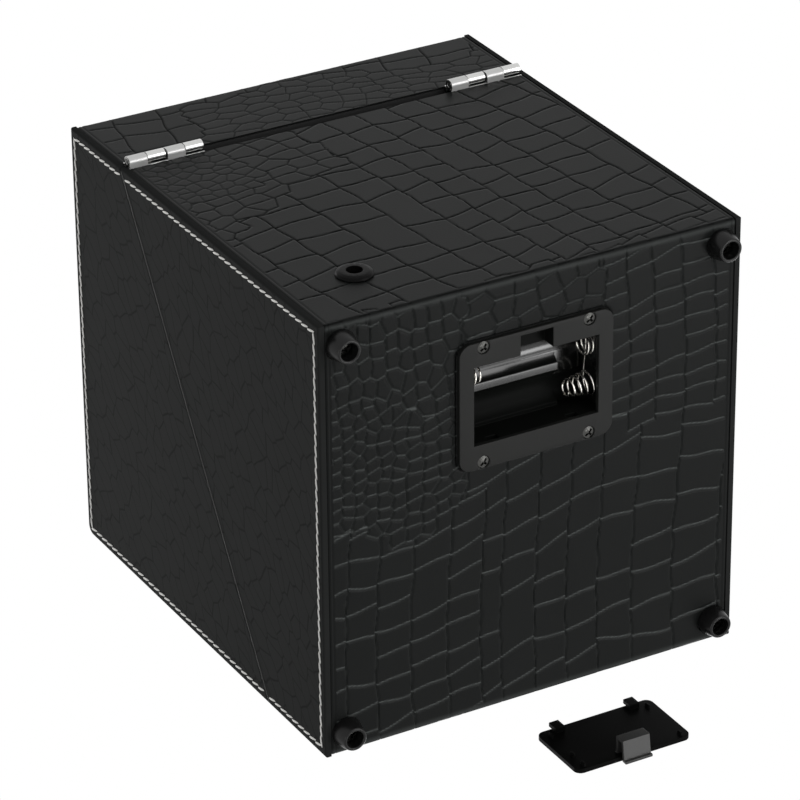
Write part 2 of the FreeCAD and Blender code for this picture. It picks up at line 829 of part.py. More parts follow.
jack_z = under + d.jack_height
jack_bore = d.jack_bore_dia / 2
jack_barrel = d.jack_barrel_dia / 2
jack_rim = d.jack_flange_dia / 2
back_wall = d.wrap + d.board
jack = lathe("dc_jack_body", [(jack_bore, d.jack_flange), (jack_rim * 0.72, d.jack_flange),
                              (jack_rim * 0.92, d.jack_flange * 0.7), (jack_rim, d.jack_flange * 0.25),
                              (jack_rim, 0), (jack_barrel, 0), (jack_barrel, -d.jack_barrel),
                              (0, -d.jack_barrel), (0, -d.jack_bore), (jack_bore, -d.jack_bore)])
place(jack, jack_x, half_d, jack_z, Vector(1, 0, 0), -90)
jack_pin = lathe("dc_jack_pin", [(0, -d.jack_bore), (d.jack_pin_dia / 2, -d.jack_bore),
                                 (d.jack_pin_dia / 2, -1.2), (d.jack_pin_dia / 4, -0.8), (0, -0.8)])
place(jack_pin, jack_x, half_d, jack_z, Vector(1, 0, 0), -90)
jack_nut = new_body("dc_jack_nut")
nut_radius = d.jack_nut_flats / math.sqrt(3)
nut_corners = [(nut_radius * math.cos(k * math.pi / 3), nut_radius * math.sin(k * math.pi / 3))
               for k in range(6)]
pad(jack_nut, polygon(sketch_on(jack_nut, "XY_Plane", -back_wall - d.jack_nut), nut_corners), d.jack_nut)
pocket(jack_nut, circle(sketch_on(jack_nut, "XY_Plane", -back_wall), 0, 0, jack_barrel + d.press_fit),
       both_ways=True)
place(jack_nut, jack_x, half_d, jack_z, Vector(1, 0, 0), -90)

# Hinges: two knuckles on each leaf, pin along X through the origin of the pattern piece

barrel = d.barrel_dia / 2
leaf_in = -d.leaf_depth - d.hinge_axis_out
leaf_holes = [d.hinge_length * 0.3, d.hinge_length * 0.7]


def hinge_leaf(label, seat, grow, wall, knuckles, fit):
    """A leaf whose plate starts at a seat height, with knuckles carried on a wall beside the pin."""
    body = new_body(label)
    low, high = (seat, seat + d.leaf) if grow > 0 else (seat - d.leaf, seat)
    plate_out = -barrel + d.leaf / 2 if wall > 0 else -barrel + d.leaf
    pad(body, rectangle(sketch_on(body, "YZ_Plane"), leaf_in, plate_out, low, high), d.hinge_length)
    for quarter in knuckles:
        start = d.hinge_length * quarter / 4 + d.knuckle_gap / 2
        length = d.hinge_length / 4 - d.knuckle_gap
        near_y, far_y = (barrel - d.leaf, barrel) if wall > 0 else (-barrel, d.leaf - barrel)
        pad(body, rectangle(sketch_on(body, "YZ_Plane", start), leaf_in, far_y, low, high), length)
        stem_low, stem_high = (low, 0) if grow > 0 else (0, high)
        pad(body, rectangle(sketch_on(body, "YZ_Plane", start), near_y, far_y, stem_low, stem_high), length)
        pad(body, circle(sketch_on(body, "YZ_Plane", start), 0, 0, barrel), length)
    bore = circle(sketch_on(body, "YZ_Plane", d.hinge_length / 2), 0, 0, d.hinge_pin_dia / 2 + fit)
    pocket(body, bore, both_ways=True)
    holes = sketch_on(body, "XY_Plane", seat)
    for x in leaf_holes:
        circle(holes, x, hinge_screw_y - hinge_y, d.hinge_screw_dia / 2 + d.loose)
    pocket(body, holes, 3 * d.leaf, both_ways=True)
    return body


hinge_spots = [spot(start, hinge_y, hinge_z) for start in hinge_starts]
base_leaf = hinge_leaf("base_leaf_pattern", seam_base - hinge_z, 1, 1, (1, 3), d.press_fit)
group("hinge_base_leaves", base_leaf, hinge_spots)
lid_leaf = hinge_leaf("lid_leaf_pattern", seam_lid - hinge_z, -1, -1, (0, 2), d.shaft_fit)
group("hinge_lid_leaves", lid_leaf, hinge_spots)
hinge_pin = new_body("hinge_pin_pattern")
pad(hinge_pin, circle(sketch_on(hinge_pin, "YZ_Plane", d.knuckle_gap), 0, 0, d.hinge_pin_dia / 2),
    d.hinge_length - 2 * d.knuckle_gap)
group("hinge_pins", hinge_pin, hinge_spots)
for owner, height, head_up in (("base", seam_base + d.leaf, True), ("lid", seam_lid - d.leaf, False)):
    hinge_screw = screw(f"hinge_{owner}_screw_pattern", d.hinge_screw_head_dia, d.hinge_screw_head,
                        d.hinge_screw_dia, d.hinge_screw_length, head_up)
    group(f"hinge_{owner}_screws", hinge_screw, [spot(x, hinge_screw_y, height) for x in hinge_screw_x])

# Lid carcass: five boards

lid_top = new_body("lid_top_board")
pad(lid_top, rectangle(sketch_on(lid_top, "XY_Plane", ceiling_z), -carcass_x, carcass_x, -core_y, core_y),
    d.board)
round_edges(lid_top, d.lid_front_round - d.wrap, edge_at(y=-core_y, z=lid_core_z))

lid_front = new_body("lid_front_board")
pad(lid_front, polygon(sketch_on(lid_front, "YZ_Plane"),
                       [(-core_y, lid_rim(-core_y)), (-inner_y, lid_rim(-inner_y)),
                        (-inner_y, ceiling_z), (-core_y, ceiling_z)]), 2 * inner_x, both_ways=True)

lid_back = new_body("lid_back_board")
pad(lid_back, rectangle(sketch_on(lid_back, "YZ_Plane"), inner_y, core_y, seam_lid, ceiling_z),
    2 * inner_x, both_ways=True)
hinge_holes(lid_back, seam_lid)

lid_profile = [(-core_y, lid_rim(-core_y)), (rim_flat_y, lid_rim(rim_flat_y)), (rim_flat_y, seam_lid),
               (core_y, seam_lid), (core_y, ceiling_z), (-core_y, ceiling_z)]
for side_name, start in (("left", -carcass_x), ("right", inner_x)):
    lid_side = new_body(f"lid_side_board_{side_name}")
    pad(lid_side, polygon(sketch_on(lid_side, "YZ_Plane", start), lid_profile), d.board)

# Lid covering and lining

lid_wrap = new_body("lid_wrap")
pad(lid_wrap, polygon(sketch_on(lid_wrap, "YZ_Plane"),
                      [(-half_d, lid_rim(-half_d)), (-half_d, top_z), (half_d, top_z),
                       (half_d, seam_lid), (core_y, seam_lid), (core_y, lid_core_z),
                       (-core_y, lid_core_z), (-core_y, lid_rim(-core_y))]),
    2 * carcass_x, both_ways=True)
round_edges(lid_wrap, d.lid_front_round, edge_at(y=-half_d, z=top_z))
round_edges(lid_wrap, d.lid_front_round - d.wrap, edge_at(y=-core_y, z=lid_core_z))
round_edges(lid_wrap, d.edge_round, edge_at(y=half_d, z=top_z))

for side_name, sign in (("left", -1), ("right", 1)):
    lid_panel = side_panel(f"lid_side_panel_{side_name}",
                           [(-half_d, lid_rim(-half_d)), (half_d, lid_rim(half_d)), (half_d, top_z),
                            (-half_d, top_z)], sign)
    round_edges(lid_panel, d.lid_front_round, edge_at(y=-half_d, z=top_z))
    doc.recompute()
    soften_panel(lid_panel, sign)

lining = new_body("lid_lining")
lining_lift = d.lip + d.lining_clear
pad(lining, polygon(sketch_on(lining, "YZ_Plane"),
                    [(-inner_y, split_plane(-inner_y, lining_lift)),
                     (inner_y, split_plane(inner_y, lining_lift)), (inner_y, ceiling_z),
                     (-inner_y, ceiling_z)]), 2 * inner_x, both_ways=True)
pocket(lining, rectangle(sketch_on(lining, "XY_Plane", ceiling_z - d.lining), d.lining - inner_x,
                         inner_x - d.lining, d.lining - inner_y, inner_y - d.lining))

# Deck and its battens

deck = on_deck(new_body("deck"))
deck_end = (inner_y - d.deck_clear) * stretch
under_end = d.deck * slope
pad(deck, polygon(sketch_on(deck, "YZ_Plane"),
                  [(-deck_end, 0), (-deck_end - under_end, -d.deck), (deck_end - under_end, -d.deck),
                   (deck_end, 0)]), 2 * (inner_x - d.deck_clear), both_ways=True)
deck_openings = circle(sketch_on(deck, "XY_Plane"), 0, 0, d.well_dia / 2)
switch_x = inner_x - d.switch_inset
switch_y = d.switch_up - deck_end
circle(deck_openings, switch_x, switch_y, d.switch_bush_dia / 2 + d.loose)
pocket(deck, deck_openings, both_ways=True)
spacer_spots = [(sx * d.spacer_x, sy * d.spacer_y) for sx in (-1, 1) for sy in (-1, 1)]
deck_pilots = sketch_on(deck, "XY_Plane", -d.deck)
for x, y in spacer_spots:
    circle(deck_pilots, x, y, d.frame_screw_dia / 2 + d.press_fit)
pocket(deck, deck_pilots, d.frame_screw_bite + d.loose, forward=True)

batten = new_body("batten_pattern")
pad(batten, rectangle(sketch_on(batten, "XY_Plane", -d.deck - d.batten), 0, d.batten,
                      -(d.batten_length / 2), d.batten_length / 2), d.batten)
group("deck_battens", batten, [spot(-inner_x, 0, 0), spot(inner_x - d.batten, 0, 0)], deck_frame)

# Turntable: cup on its shaft, held by a screw through the cup floor

rim_top = d.rim_lift + d.cup_rim
cup_floor_top = rim_top - d.cup_depth
cup_floor_low = cup_floor_top - d.cup_floor
hub_low = cup_floor_low - d.hub
recess_low = cup_floor_top - d.hub_screw_head - d.loose
shaft_top = recess_low - d.hub_web
shaft = d.shaft_dia / 2
cup_outer = d.cup_dia / 2
cup_inner = cup_outer - d.cup_wall
screw_pass = d.hub_screw_dia / 2 + d.loose
screw_recess = d.hub_screw_head_dia / 2 + 2 * d.loose
cup = lathe("turntable_cup",
            [(shaft + d.press_fit, hub_low), (d.hub_dia / 2, hub_low), (d.hub_dia / 2, cup_floor_low),
             (cup_outer, cup_floor_low), (cup_outer, d.rim_lift), (d.cup_rim_dia / 2, d.rim_lift),
             (d.cup_rim_dia / 2, rim_top), (cup_inner, rim_top), (cup_inner, cup_floor_top),
             (screw_recess, cup_floor_top), (screw_recess, recess_low), (screw_pass, recess_low),
             (screw_pass, shaft_top), (shaft + d.press_fit, shaft_top)])
on_deck(cup)
hub_screw = screw("hub_screw", d.hub_screw_head_dia, d.hub_screw_head, d.hub_screw_dia, d.hub_screw_length)
on_deck(hub_screw)
hub_screw_seat = deck_z + recess_low / stretch
bind(hub_screw, "Placement.Base.z", hub_screw_seat)
bind(hub_screw, "Placement.Base.y", -recess_low * slope / stretch)

# Gear frame: heights down the axis, and the train's places; the motor stands midway between the cup and
# the side board, and the tooth modules follow from that

top_plate_high = hub_low - d.hub_gap
top_plate_low = top_plate_high - d.plate
low_plate_high = top_plate_low - d.gear_space
low_plate_low = low_plate_high - d.plate
gear_low = low_plate_high + d.bush_flange + d.gear_lift
wheel_low = gear_low + d.output_face + d.layer_gap
motor_x = -((cup_outer + inner_x) / 2)
slow_step = (d.output_teeth + d.idler_pinion_teeth) / 2
fast_step = (d.idler_teeth + d.motor_teeth) / 2
drive_module = -motor_x / (slow_step + d.fast_share * fast_step)
fast_module = drive_module * d.fast_share
idler_x = -(drive_module * slow_step)
motor_screw_spots = [(motor_x, sy * (d.motor_screw_spread / 2)) for sy in (-1, 1)]
pillar_spots = ([(d.pillar_right, sy * d.pillar_right_y) for sy in (-1, 1)]
                + [(-d.pillar_left, sy * d.pillar_left_y) for sy in (-1, 1)])
frame_screw = d.frame_screw_dia / 2
axle = d.idler_axle_dia / 2


def frame_plate(label, low, left, right, half, holes):
    body = on_deck(new_body(label))
    pad(body, rectangle(sketch_on(body, "XY_Plane", low), left, right, -half, half), d.plate)
    round_edges(body, d.plate_corner, upright_on_deck)
    drilled = sketch_on(body, "XY_Plane", low)
    for x, y, radius in holes:
        circle(drilled, x, y, radius)
    pocket(body, drilled, both_ways=True)
    return body


def upright_on_deck(edge):
    return edge.BoundBox.XLength < 1e-4 and near(edge.Length, d.plate)


shared_holes = ([(0, 0, d.bush_dia / 2 + d.press_fit), (idler_x, 0, axle + d.press_fit)]
                + [(x, y, frame_screw + d.loose) for x, y in pillar_spots])
top_only = ([(motor_x, 0, d.motor_boss_dia / 2 + d.loose)]
            + [(x, y, frame_screw + d.loose) for x, y in spacer_spots]
            + [(x, y, d.motor_screw_dia / 2 + d.loose) for x, y in motor_screw_spots])
frame_plate("gear_frame_top", top_plate_low, d.plate_gap - inner_x, d.top_plate_right, d.top_plate_half,
            shared_holes + top_only)
frame_plate("gear_frame_bottom", low_plate_low, -d.low_plate_left, d.low_plate_right, d.low_plate_half,
            shared_holes)


def tube(label, outer, inner, low, high):
    return lathe(label, [(inner, low), (outer, low), (outer, high), (inner, high)])


spacer = tube("spacer_pattern", d.spacer_dia / 2, frame_screw + d.loose, top_plate_high, -d.deck)
group("frame_spacers", spacer, [spot(x, y, 0) for x, y in spacer_spots], deck_frame)
long_screw = screw("frame_screw_pattern", d.frame_screw_head_dia, d.frame_screw_head, d.frame_screw_dia,
                   -d.deck + d.frame_screw_bite - top_plate_low, head_up=False)
group("frame_screws", long_screw, [spot(x, y, top_plate_low) for x, y in spacer_spots], deck_frame)
pillar = tube("pillar_pattern", d.pillar_dia / 2, frame_screw + d.press_fit, low_plate_high, top_plate_low)
group("gear_pillars", pillar, [spot(x, y, 0) for x, y in pillar_spots], deck_frame)

pillar_screw_length = d.plate + d.gear_space * 0.4
upper_screw = screw("upper_screw_pattern", d.frame_screw_head_dia, d.frame_screw_head, d.frame_screw_dia,
                    pillar_screw_length)
lower_screw = screw("lower_screw_pattern", d.frame_screw_head_dia, d.frame_screw_head, d.frame_screw_dia,
                    pillar_screw_length, head_up=False)
upper_screws = group("upper_screws_pattern", upper_screw,
                     [spot(x, y, top_plate_high) for x, y in pillar_spots])
lower_screws = group("lower_screws_pattern", lower_screw,
                     [spot(x, y, low_plate_low) for x, y in pillar_spots])
pillar_screws = doc.addObject("Part::Feature", "pillar_screws")
pillar_screws.Shape = Part.makeCompound(upper_screws.Shape.Solids + lower_screws.Shape.Solids)
pillar_screws.Placement = deck_frame

bush = lathe("bush_pattern", [(shaft + d.shaft_fit, -d.plate), (d.bush_dia / 2, -d.plate),
                              (d.bush_dia / 2, 0), (d.bush_flange_dia / 2, 0),
                              (d.bush_flange_dia / 2, d.bush_flange), (shaft + d.shaft_fit, d.bush_flange)])
group("output_bushes", bush, [spot(0, 0, top_plate_high), spot(0, 0, low_plate_high)], deck_frame)

tapped = d.hub_screw_dia / 2 + d.press_fit
tapped_low = recess_low - d.hub_screw_length - d.loose
output_shaft = lathe("output_shaft", [(0, low_plate_low - d.loose), (shaft, low_plate_low - d.loose),
                                      (shaft, shaft_top), (tapped, shaft_top), (tapped, tapped_low),
                                      (0, tapped_low)])
on_deck(output_shaft)

# Gears: trapezoid teeth set round a disc


def toothed_disc(body, teeth, module, low, face, phase):
    """A disc with one tooth at the phase angle, repeated round the axis."""
    root = module * (teeth / 2 - 1.1)
    tip = module * (teeth / 2 + 0.8)
    pad(body, circle(sketch_on(body, "XY_Plane", low), 0, 0, root), face)
    foot_half = module * 1.03
    tip_half = module * 0.36
    outline = [(root - module * 0.3, -foot_half), (tip, -tip_half), (tip, tip_half),
               (root - module * 0.3, foot_half)]
    c, s = math.cos(phase), math.sin(phase)
    turned = [(x * c - y * s, x * s + y * c) for x, y in outline]
    sketch = polygon(sketch_on(body, "XY_Plane", low), turned)
    tooth = pad(body, sketch, face)
    ring = body.newObject("PartDesign::PolarPattern", f"{body.Name}_ring")
    ring.Originals = [tooth]
    ring.Axis = (sketch, ["N_Axis"])
    ring.Angle = 360
    bind(ring, "Occurrences", teeth)
    body.Tip = ring


def bore(body, radius):
    pocket(body, circle(sketch_on(body, "XY_Plane", low_plate_high), 0, 0, radius), both_ways=True)


output_gear = on_deck(new_body("output_gear"))
toothed_disc(output_gear, d.output_teeth, drive_module, gear_low, d.output_face, 0.0)
pad(output_gear, circle(sketch_on(output_gear, "XY_Plane", gear_low), 0, 0, d.hub_dia / 2 - 1),
    d.output_face + 2 * d.layer_gap)
bore(output_gear, shaft + d.press_fit)

idler = on_deck(new_body("idler_gear"), idler_x)
toothed_disc(idler, d.idler_teeth, fast_module, wheel_low, d.idler_face, 0.0)
toothed_disc(idler, d.idler_pinion_teeth, drive_module, gear_low - d.loose, wheel_low - gear_low + d.loose,
             math.pi / SIZES["idler_pinion_teeth"])
bore(idler, axle + d.shaft_fit)

idler_axle = lathe("idler_axle", [(0, low_plate_low), (axle, low_plate_low), (axle, low_plate_high),
                                  (axle * 2, low_plate_high), (axle * 2, gear_low - 3 * d.loose),
                                  (axle, gear_low - 3 * d.loose), (axle, top_plate_high),
                                  (0, top_plate_high)])
on_deck(idler_axle, idler_x)

# Motor on the top plate, its pinion below

motor_shaft = d.motor_shaft_dia / 2
motor_top = top_plate_high + d.motor_length
socket_top = top_plate_high + d.motor_length / 4
motor_can = d.motor_dia / 2
motor = lathe("gear_motor",
              [(motor_shaft + d.shaft_fit, top_plate_low), (d.motor_boss_dia / 2, top_plate_low),
               (d.motor_boss_dia / 2, top_plate_high), (motor_can, top_plate_high),
               (motor_can, motor_top - 1), (motor_can - 1, motor_top), (0, motor_top), (0, socket_top),
               (motor_shaft + d.shaft_fit, socket_top)])
on_deck(motor, motor_x)
motor_holes = sketch_on(motor, "XY_Plane", top_plate_high)
for sign in (-1, 1):
    circle(motor_holes, 0, sign * (d.motor_screw_spread / 2), d.motor_screw_dia / 2 + d.press_fit)
pocket(motor, motor_holes, d.motor_screw_bite + d.loose, forward=True)
motor_screw = screw("motor_screw_pattern", d.motor_screw_head_dia, d.motor_screw_head, d.motor_screw_dia,
                    d.plate + d.motor_screw_bite, head_up=False)
group("motor_screws", motor_screw, [spot(x, y, top_plate_low) for x, y in motor_screw_spots], deck_frame)
motor_pinion = on_deck(new_body("motor_pinion"), motor_x)
toothed_disc(motor_pinion, d.motor_teeth, fast_module, wheel_low - d.loose, d.idler_face + 2 * d.loose,
             math.pi / SIZES["motor_teeth"])
bore(motor_pinion, motor_shaft + d.press_fit)
rotor = lathe("motor_shaft", [(0, wheel_low - 2 * d.loose), (motor_shaft, wheel_low - 2 * d.loose),
                              (motor_shaft, socket_top - d.loose), (0, socket_top - d.loose)])
on_deck(rotor, motor_x)

# Watch cushion: crowned block with its sides drawn in between the corners


def cushion_outline(share_long, share_wide, z):
    """A rounded rectangle whose sides bow inward, at a height in the deck frame."""
    a = d.cushion_length.value / 2 * share_long
    b = d.cushion_width.value / 2 * share_wide
    corner = d.cushion_corner.value * min(share_long, share_wide)
    draw = d.cushion_draw.value
    bend = corner * (1 - math.sqrt(0.5))
    edges = []
    for sx, sy in ((1, 1), (-1, 1), (-1, -1), (1, -1)):
        side = Vector(sx * a, sy * (b - corner), z)
        end = Vector(sx * (a - corner), sy * b, z)
        arc = Part.Arc(side, Vector(sx * (a - bend), sy * (b - bend), z), end)
        if sx == sy:
            edges += [arc, Part.Arc(end, Vector(0, sy * (b - draw), z), Vector(-end.x, end.y, z))]
        else:
            back = Part.Arc(end, Vector(sx * (a - bend), sy * (b - bend), z), side)
            edges += [back, Part.Arc(side, Vector(sx * (a - draw), 0, z), Vector(side.x, -side.y, z))]
    return Part.Wire([edge.toShape() for edge in edges])


cushion_low = cup_floor_top.value + d.cushion_clear.value
cushion_rise = d.cushion_height.value
cushion_steps = ((0.80, 0.74, 0.0), (0.95, 0.93, 0.10), (1.0, 1.0, 0.35), (0.97, 0.96, 0.70),
                 (0.86, 0.80, 0.90), (0.56, 0.46, 1.0))
cushion = doc.addObject("Part::Feature", "watch_cushion")
cushion.Shape = Part.makeLoft([cushion_outline(a, b, cushion_low + cushion_rise * share)
                               for a, b, share in cushion_steps], True, False)
cushion.Placement = deck_frame

# Control board, mode switch and knob under the front of the deck

board_high = -d.deck - d.pcb_drop
board_right = inner_x - d.pcb_inset + d.pcb_width / 2
board_left = board_right - d.pcb_width
board_front = switch_y - d.pcb_depth / 2
board_back = switch_y + d.pcb_depth / 2
control_board = on_deck(new_body("control_board"))
pad(control_board, rectangle(sketch_on(control_board, "XY_Plane", board_high - d.pcb), board_left,
                             board_right, board_front, board_back), d.pcb)
chip_left = board_left + d.chip_inset
chips = rectangle(sketch_on(control_board, "XY_Plane", board_high), chip_left, chip_left + d.chip_width,
                  switch_y - d.chip_depth / 2, switch_y + d.chip_depth / 2)
pad(control_board, chips, d.pcb)
connector = rectangle(sketch_on(control_board, "XY_Plane", board_high), chip_left, chip_left + d.plug_width,
                      board_back - d.standoff_inset - d.plug_depth / 2,
                      board_back - d.standoff_inset + d.plug_depth / 2)
pad(control_board, connector, d.pcb * 3)
standoff = new_body("standoff_pattern")
pad(standoff, circle(sketch_on(standoff, "XY_Plane", board_high), 0, 0, d.standoff_dia / 2), d.pcb_drop)
standoff_spots = [spot(x, y, 0) for x in (board_left + d.standoff_inset, board_right - d.standoff_inset)
                  for y in (board_front + d.standoff_inset, board_back - d.standoff_inset)]
group("board_standoffs", standoff, standoff_spots, deck_frame)

switch = on_deck(new_body("mode_switch"), switch_x, switch_y)
switch_half = d.switch_side / 2
switch_top = board_high + d.switch_body
shaft_socket = switch_top - 2
pad(switch, rectangle(sketch_on(switch, "XY_Plane", board_high), -switch_half, switch_half, -switch_half,
                      switch_half), d.switch_body)
pad(switch, circle(sketch_on(switch, "XY_Plane", switch_top), 0, 0, d.switch_bush_dia / 2), -switch_top)
switch_shaft = d.switch_shaft_dia / 2
pocket(switch, circle(sketch_on(switch, "XY_Plane", shaft_socket), 0, 0, switch_shaft + d.shaft_fit),
       -shaft_socket + 1, forward=True)
knob_top = d.knob_lift + d.knob_height
knob_bite = d.knob_lift + d.knob_shaft_bite
mode_shaft = lathe("mode_shaft", [(0, shaft_socket + d.loose), (switch_shaft, shaft_socket + d.loose),
                                  (switch_shaft, knob_bite), (0, knob_bite)])
on_deck(mode_shaft, switch_x, switch_y)
knob = d.knob_dia / 2
mode_knob = lathe("mode_knob", [(switch_shaft + d.press_fit, d.knob_lift), (knob, d.knob_lift),
                                (knob - 0.6, knob_top - d.knob_round),
                                (knob - 0.6 - d.knob_round, knob_top), (0, knob_top), (0, knob_bite),
                                (switch_shaft + d.press_fit, knob_bite)])
on_deck(mode_knob, switch_x, switch_y)
pocket(mode_knob, rectangle(sketch_on(mode_knob, "XY_Plane", knob_top), -0.6, 0.6, 1, knob), 0.7)

# Check every piece and write it out

doc.recompute()
faults = [f"{thing.Label}: {thing.State}" for thing in doc.Objects
          if "Invalid" in thing.State or "Error" in thing.State]
nodes = [thing for thing in doc.Objects if thing.TypeId in ("PartDesign::Body", "Part::Feature")
         and not thing.Label.endswith("_pattern")]
faults += [f"{node.Label}: empty or broken shape" for node in nodes
           if node.Shape.isNull() or not node.Shape.isValid()]
if faults:
    print("\n".join(faults))
    sys.exit(1)
os.makedirs("parts", exist_ok=True)
for node in nodes:
    node.Shape.exportStep(f"parts/{node.Label}.step")
print(f"{len(nodes)} nodes written")
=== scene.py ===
import math

import bmesh
import bpy
import numpy as np
from mathutils import Matrix, Vector


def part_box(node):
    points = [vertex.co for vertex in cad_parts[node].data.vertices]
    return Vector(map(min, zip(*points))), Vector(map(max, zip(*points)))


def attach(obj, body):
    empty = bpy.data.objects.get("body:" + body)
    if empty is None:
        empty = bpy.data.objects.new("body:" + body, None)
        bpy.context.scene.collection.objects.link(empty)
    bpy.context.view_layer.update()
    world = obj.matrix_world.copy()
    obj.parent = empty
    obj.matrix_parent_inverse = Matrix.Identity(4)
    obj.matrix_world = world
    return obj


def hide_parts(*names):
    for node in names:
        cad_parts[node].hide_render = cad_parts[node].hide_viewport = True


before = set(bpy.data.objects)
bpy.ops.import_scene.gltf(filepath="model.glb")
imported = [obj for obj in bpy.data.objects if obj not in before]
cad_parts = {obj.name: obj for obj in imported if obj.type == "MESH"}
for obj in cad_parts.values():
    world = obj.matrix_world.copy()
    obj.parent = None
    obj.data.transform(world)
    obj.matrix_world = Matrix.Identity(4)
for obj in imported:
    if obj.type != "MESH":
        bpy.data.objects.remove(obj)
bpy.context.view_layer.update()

# Boards of the box and the lid: fibreboard under black paper, cut to size and glued at the corners. Only
# their edges along the slanting split show, when the lid is up.

MM = 0.001


def surface(name, colour, roughness, grain, depth, metallic=0.0, mottle=0.2, shine=0.5):
    """A finish with a fine grain and a slow drift of colour and gloss over the piece."""
    drift_scale, gloss_drift, grain_detail = 45, 0.05, 4
    material = bpy.data.materials.new(name)
    material.use_nodes = True
    nodes, links = material.node_tree.nodes, material.node_tree.links
    shader = nodes["Principled BSDF"]
    shader.inputs["Metallic"].default_value = metallic
    shader.inputs["Specular IOR Level"].default_value = shine
    coords = nodes.new("ShaderNodeTexCoord")
    drift = nodes.new("ShaderNodeTexNoise")
    drift.inputs["Scale"].default_value = drift_scale
    links.new(coords.outputs["Object"], drift.inputs["Vector"])
    tint = nodes.new("ShaderNodeMix")
    tint.data_type = "RGBA"
    tint.inputs["A"].default_value = (*[c * (1 - mottle) for c in colour], 1)
    tint.inputs["B"].default_value = (*[c * (1 + mottle) for c in colour], 1)
    links.new(drift.outputs["Fac"], tint.inputs["Factor"])
    links.new(tint.outputs["Result"], shader.inputs["Base Color"])
    gloss = nodes.new("ShaderNodeMapRange")
    gloss.inputs["To Min"].default_value = roughness - gloss_drift
    gloss.inputs["To Max"].default_value = roughness + gloss_drift
    links.new(drift.outputs["Fac"], gloss.inputs["Value"])
    links.new(gloss.outputs["Result"], shader.inputs["Roughness"])
    fine = nodes.new("ShaderNodeTexNoise")
    fine.inputs["Scale"].default_value = grain
    fine.inputs["Detail"].default_value = grain_detail
    links.new(coords.outputs["Object"], fine.inputs["Vector"])
    bump = nodes.new("ShaderNodeBump")
    bump.inputs["Distance"].default_value = depth
    links.new(fine.outputs["Fac"], bump.inputs["Height"])
    links.new(bump.outputs["Normal"], shader.inputs["Normal"])
    return material


def wear(material, *nodes):
    """Gives CAD nodes a finish."""
    for node in nodes:
        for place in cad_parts[node].material_slots:
            place.material = material


board_paper = surface("board_paper", (0.012, 0.012, 0.012), 0.75, 900, 0.05 * MM)
wear(board_paper, "base_bottom_board", "base_back_board", "base_front_board", "base_side_board_left",
     "base_side_board_right", "lid_top_board", "lid_front_board", "lid_back_board",
     "lid_side_board_left", "lid_side_board_right", "deck_battens")

# Embossed leather round the front, underside and back of the base, and round the front, top and back of
# the lid. Each is one strip, pressed in a crocodile pattern, glued to the boards and rolled over at its
# edges.

sharp_edge = 38


def settle(bm, name, material, body, slot, *nodes):
    """Turns a finished bmesh into a piece that rides on a body and stands for CAD nodes."""
    mesh = bpy.data.meshes.new(name)
    bm.to_mesh(mesh)
    bm.free()
    mesh.materials.append(material)
    mesh.polygons.foreach_set("use_smooth", [True] * len(mesh.polygons))
    mesh.set_sharp_from_angle(angle=math.radians(sharp_edge))
    piece = bpy.data.objects.new(name, mesh)
    bpy.context.scene.collection.objects.link(piece)
    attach(piece, body)
    if nodes:
        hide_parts(*nodes)
    return piece


def scatter(i, j, salt):
    """A repeatable number from 0 to 1 for each scale of a pattern."""
    return np.mod(np.sin(i * 12.9898 + j * 78.233 + salt * 37.719) * 43758.5453, 1.0)


far_off = 1e3


def column_scales(u, v, wide, tall, salt, chosen):
    """Flat scales in long columns with nearly level rows: millimetres from each point to the edge of its
    scale, 1 where that edge runs along the column, and whether the scale is chosen."""
    row_play, line_play, line_tilt, left_out = 0.16, 0.2, 0.26, 0.05
    across = u / wide
    column = np.floor(across)
    part = across - column
    along = v / tall + row_play * scatter(column, 0 * column, salt)
    row = np.floor(along)
    own_row = row.copy()
    lines = []
    for step in (-1, 0, 1, 2):
        line = row + step + line_play * (scatter(column, row + step, salt + 1) - 0.5)
        line = line + line_tilt * (scatter(column, row + step, salt + 2) - 0.5) * (2 * part - 1)
        own_row = own_row - ((step == 0) & (along < line)) + ((step == 1) & (along >= line))
        there = scatter(column, row + step, salt + 3) > left_out
        lines.append((row + step, np.abs(along - line) * tall, there))
    own = chosen((column + 0.5) * wide, (own_row + 0.5) * tall)
    cross = np.full(u.shape, far_off)
    for index, far, there in lines:
        beyond = np.where(index > own_row, own_row + 1, own_row - 1)
        counts = there & (own | chosen((column + 0.5) * wide, (beyond + 0.5) * tall))
        cross = np.where(counts, np.minimum(cross, far), cross)
    beside = np.where(part < 0.5, column - 1, column + 1)
    counts = own | chosen((beside + 0.5) * wide, (own_row + 0.5) * tall)
    side = np.where(counts, np.minimum(part, 1 - part) * wide, far_off)
    return np.minimum(side, cross), (side < cross).astype(float), own


def scale_middles(u, v, wide, tall, play, salt):
    """Middles of the round scales near each point; their columns start at their own heights."""
    start_play = 0.5
    column = np.floor(u / wide)
    for across in (-1, 0, 1):
        i = column + across
        start = start_play * scatter(i, 0 * i, salt)
        row = np.floor(v / tall - start)
        for along in (-2, -1, 0, 1, 2):
            j = row + along
            yield ((i + 0.5 + play * (scatter(i, j, salt + 1) - 0.5)) * wide,
                   (j + start + 0.5 + play * (scatter(i, j, salt + 2) - 0.5)) * tall)


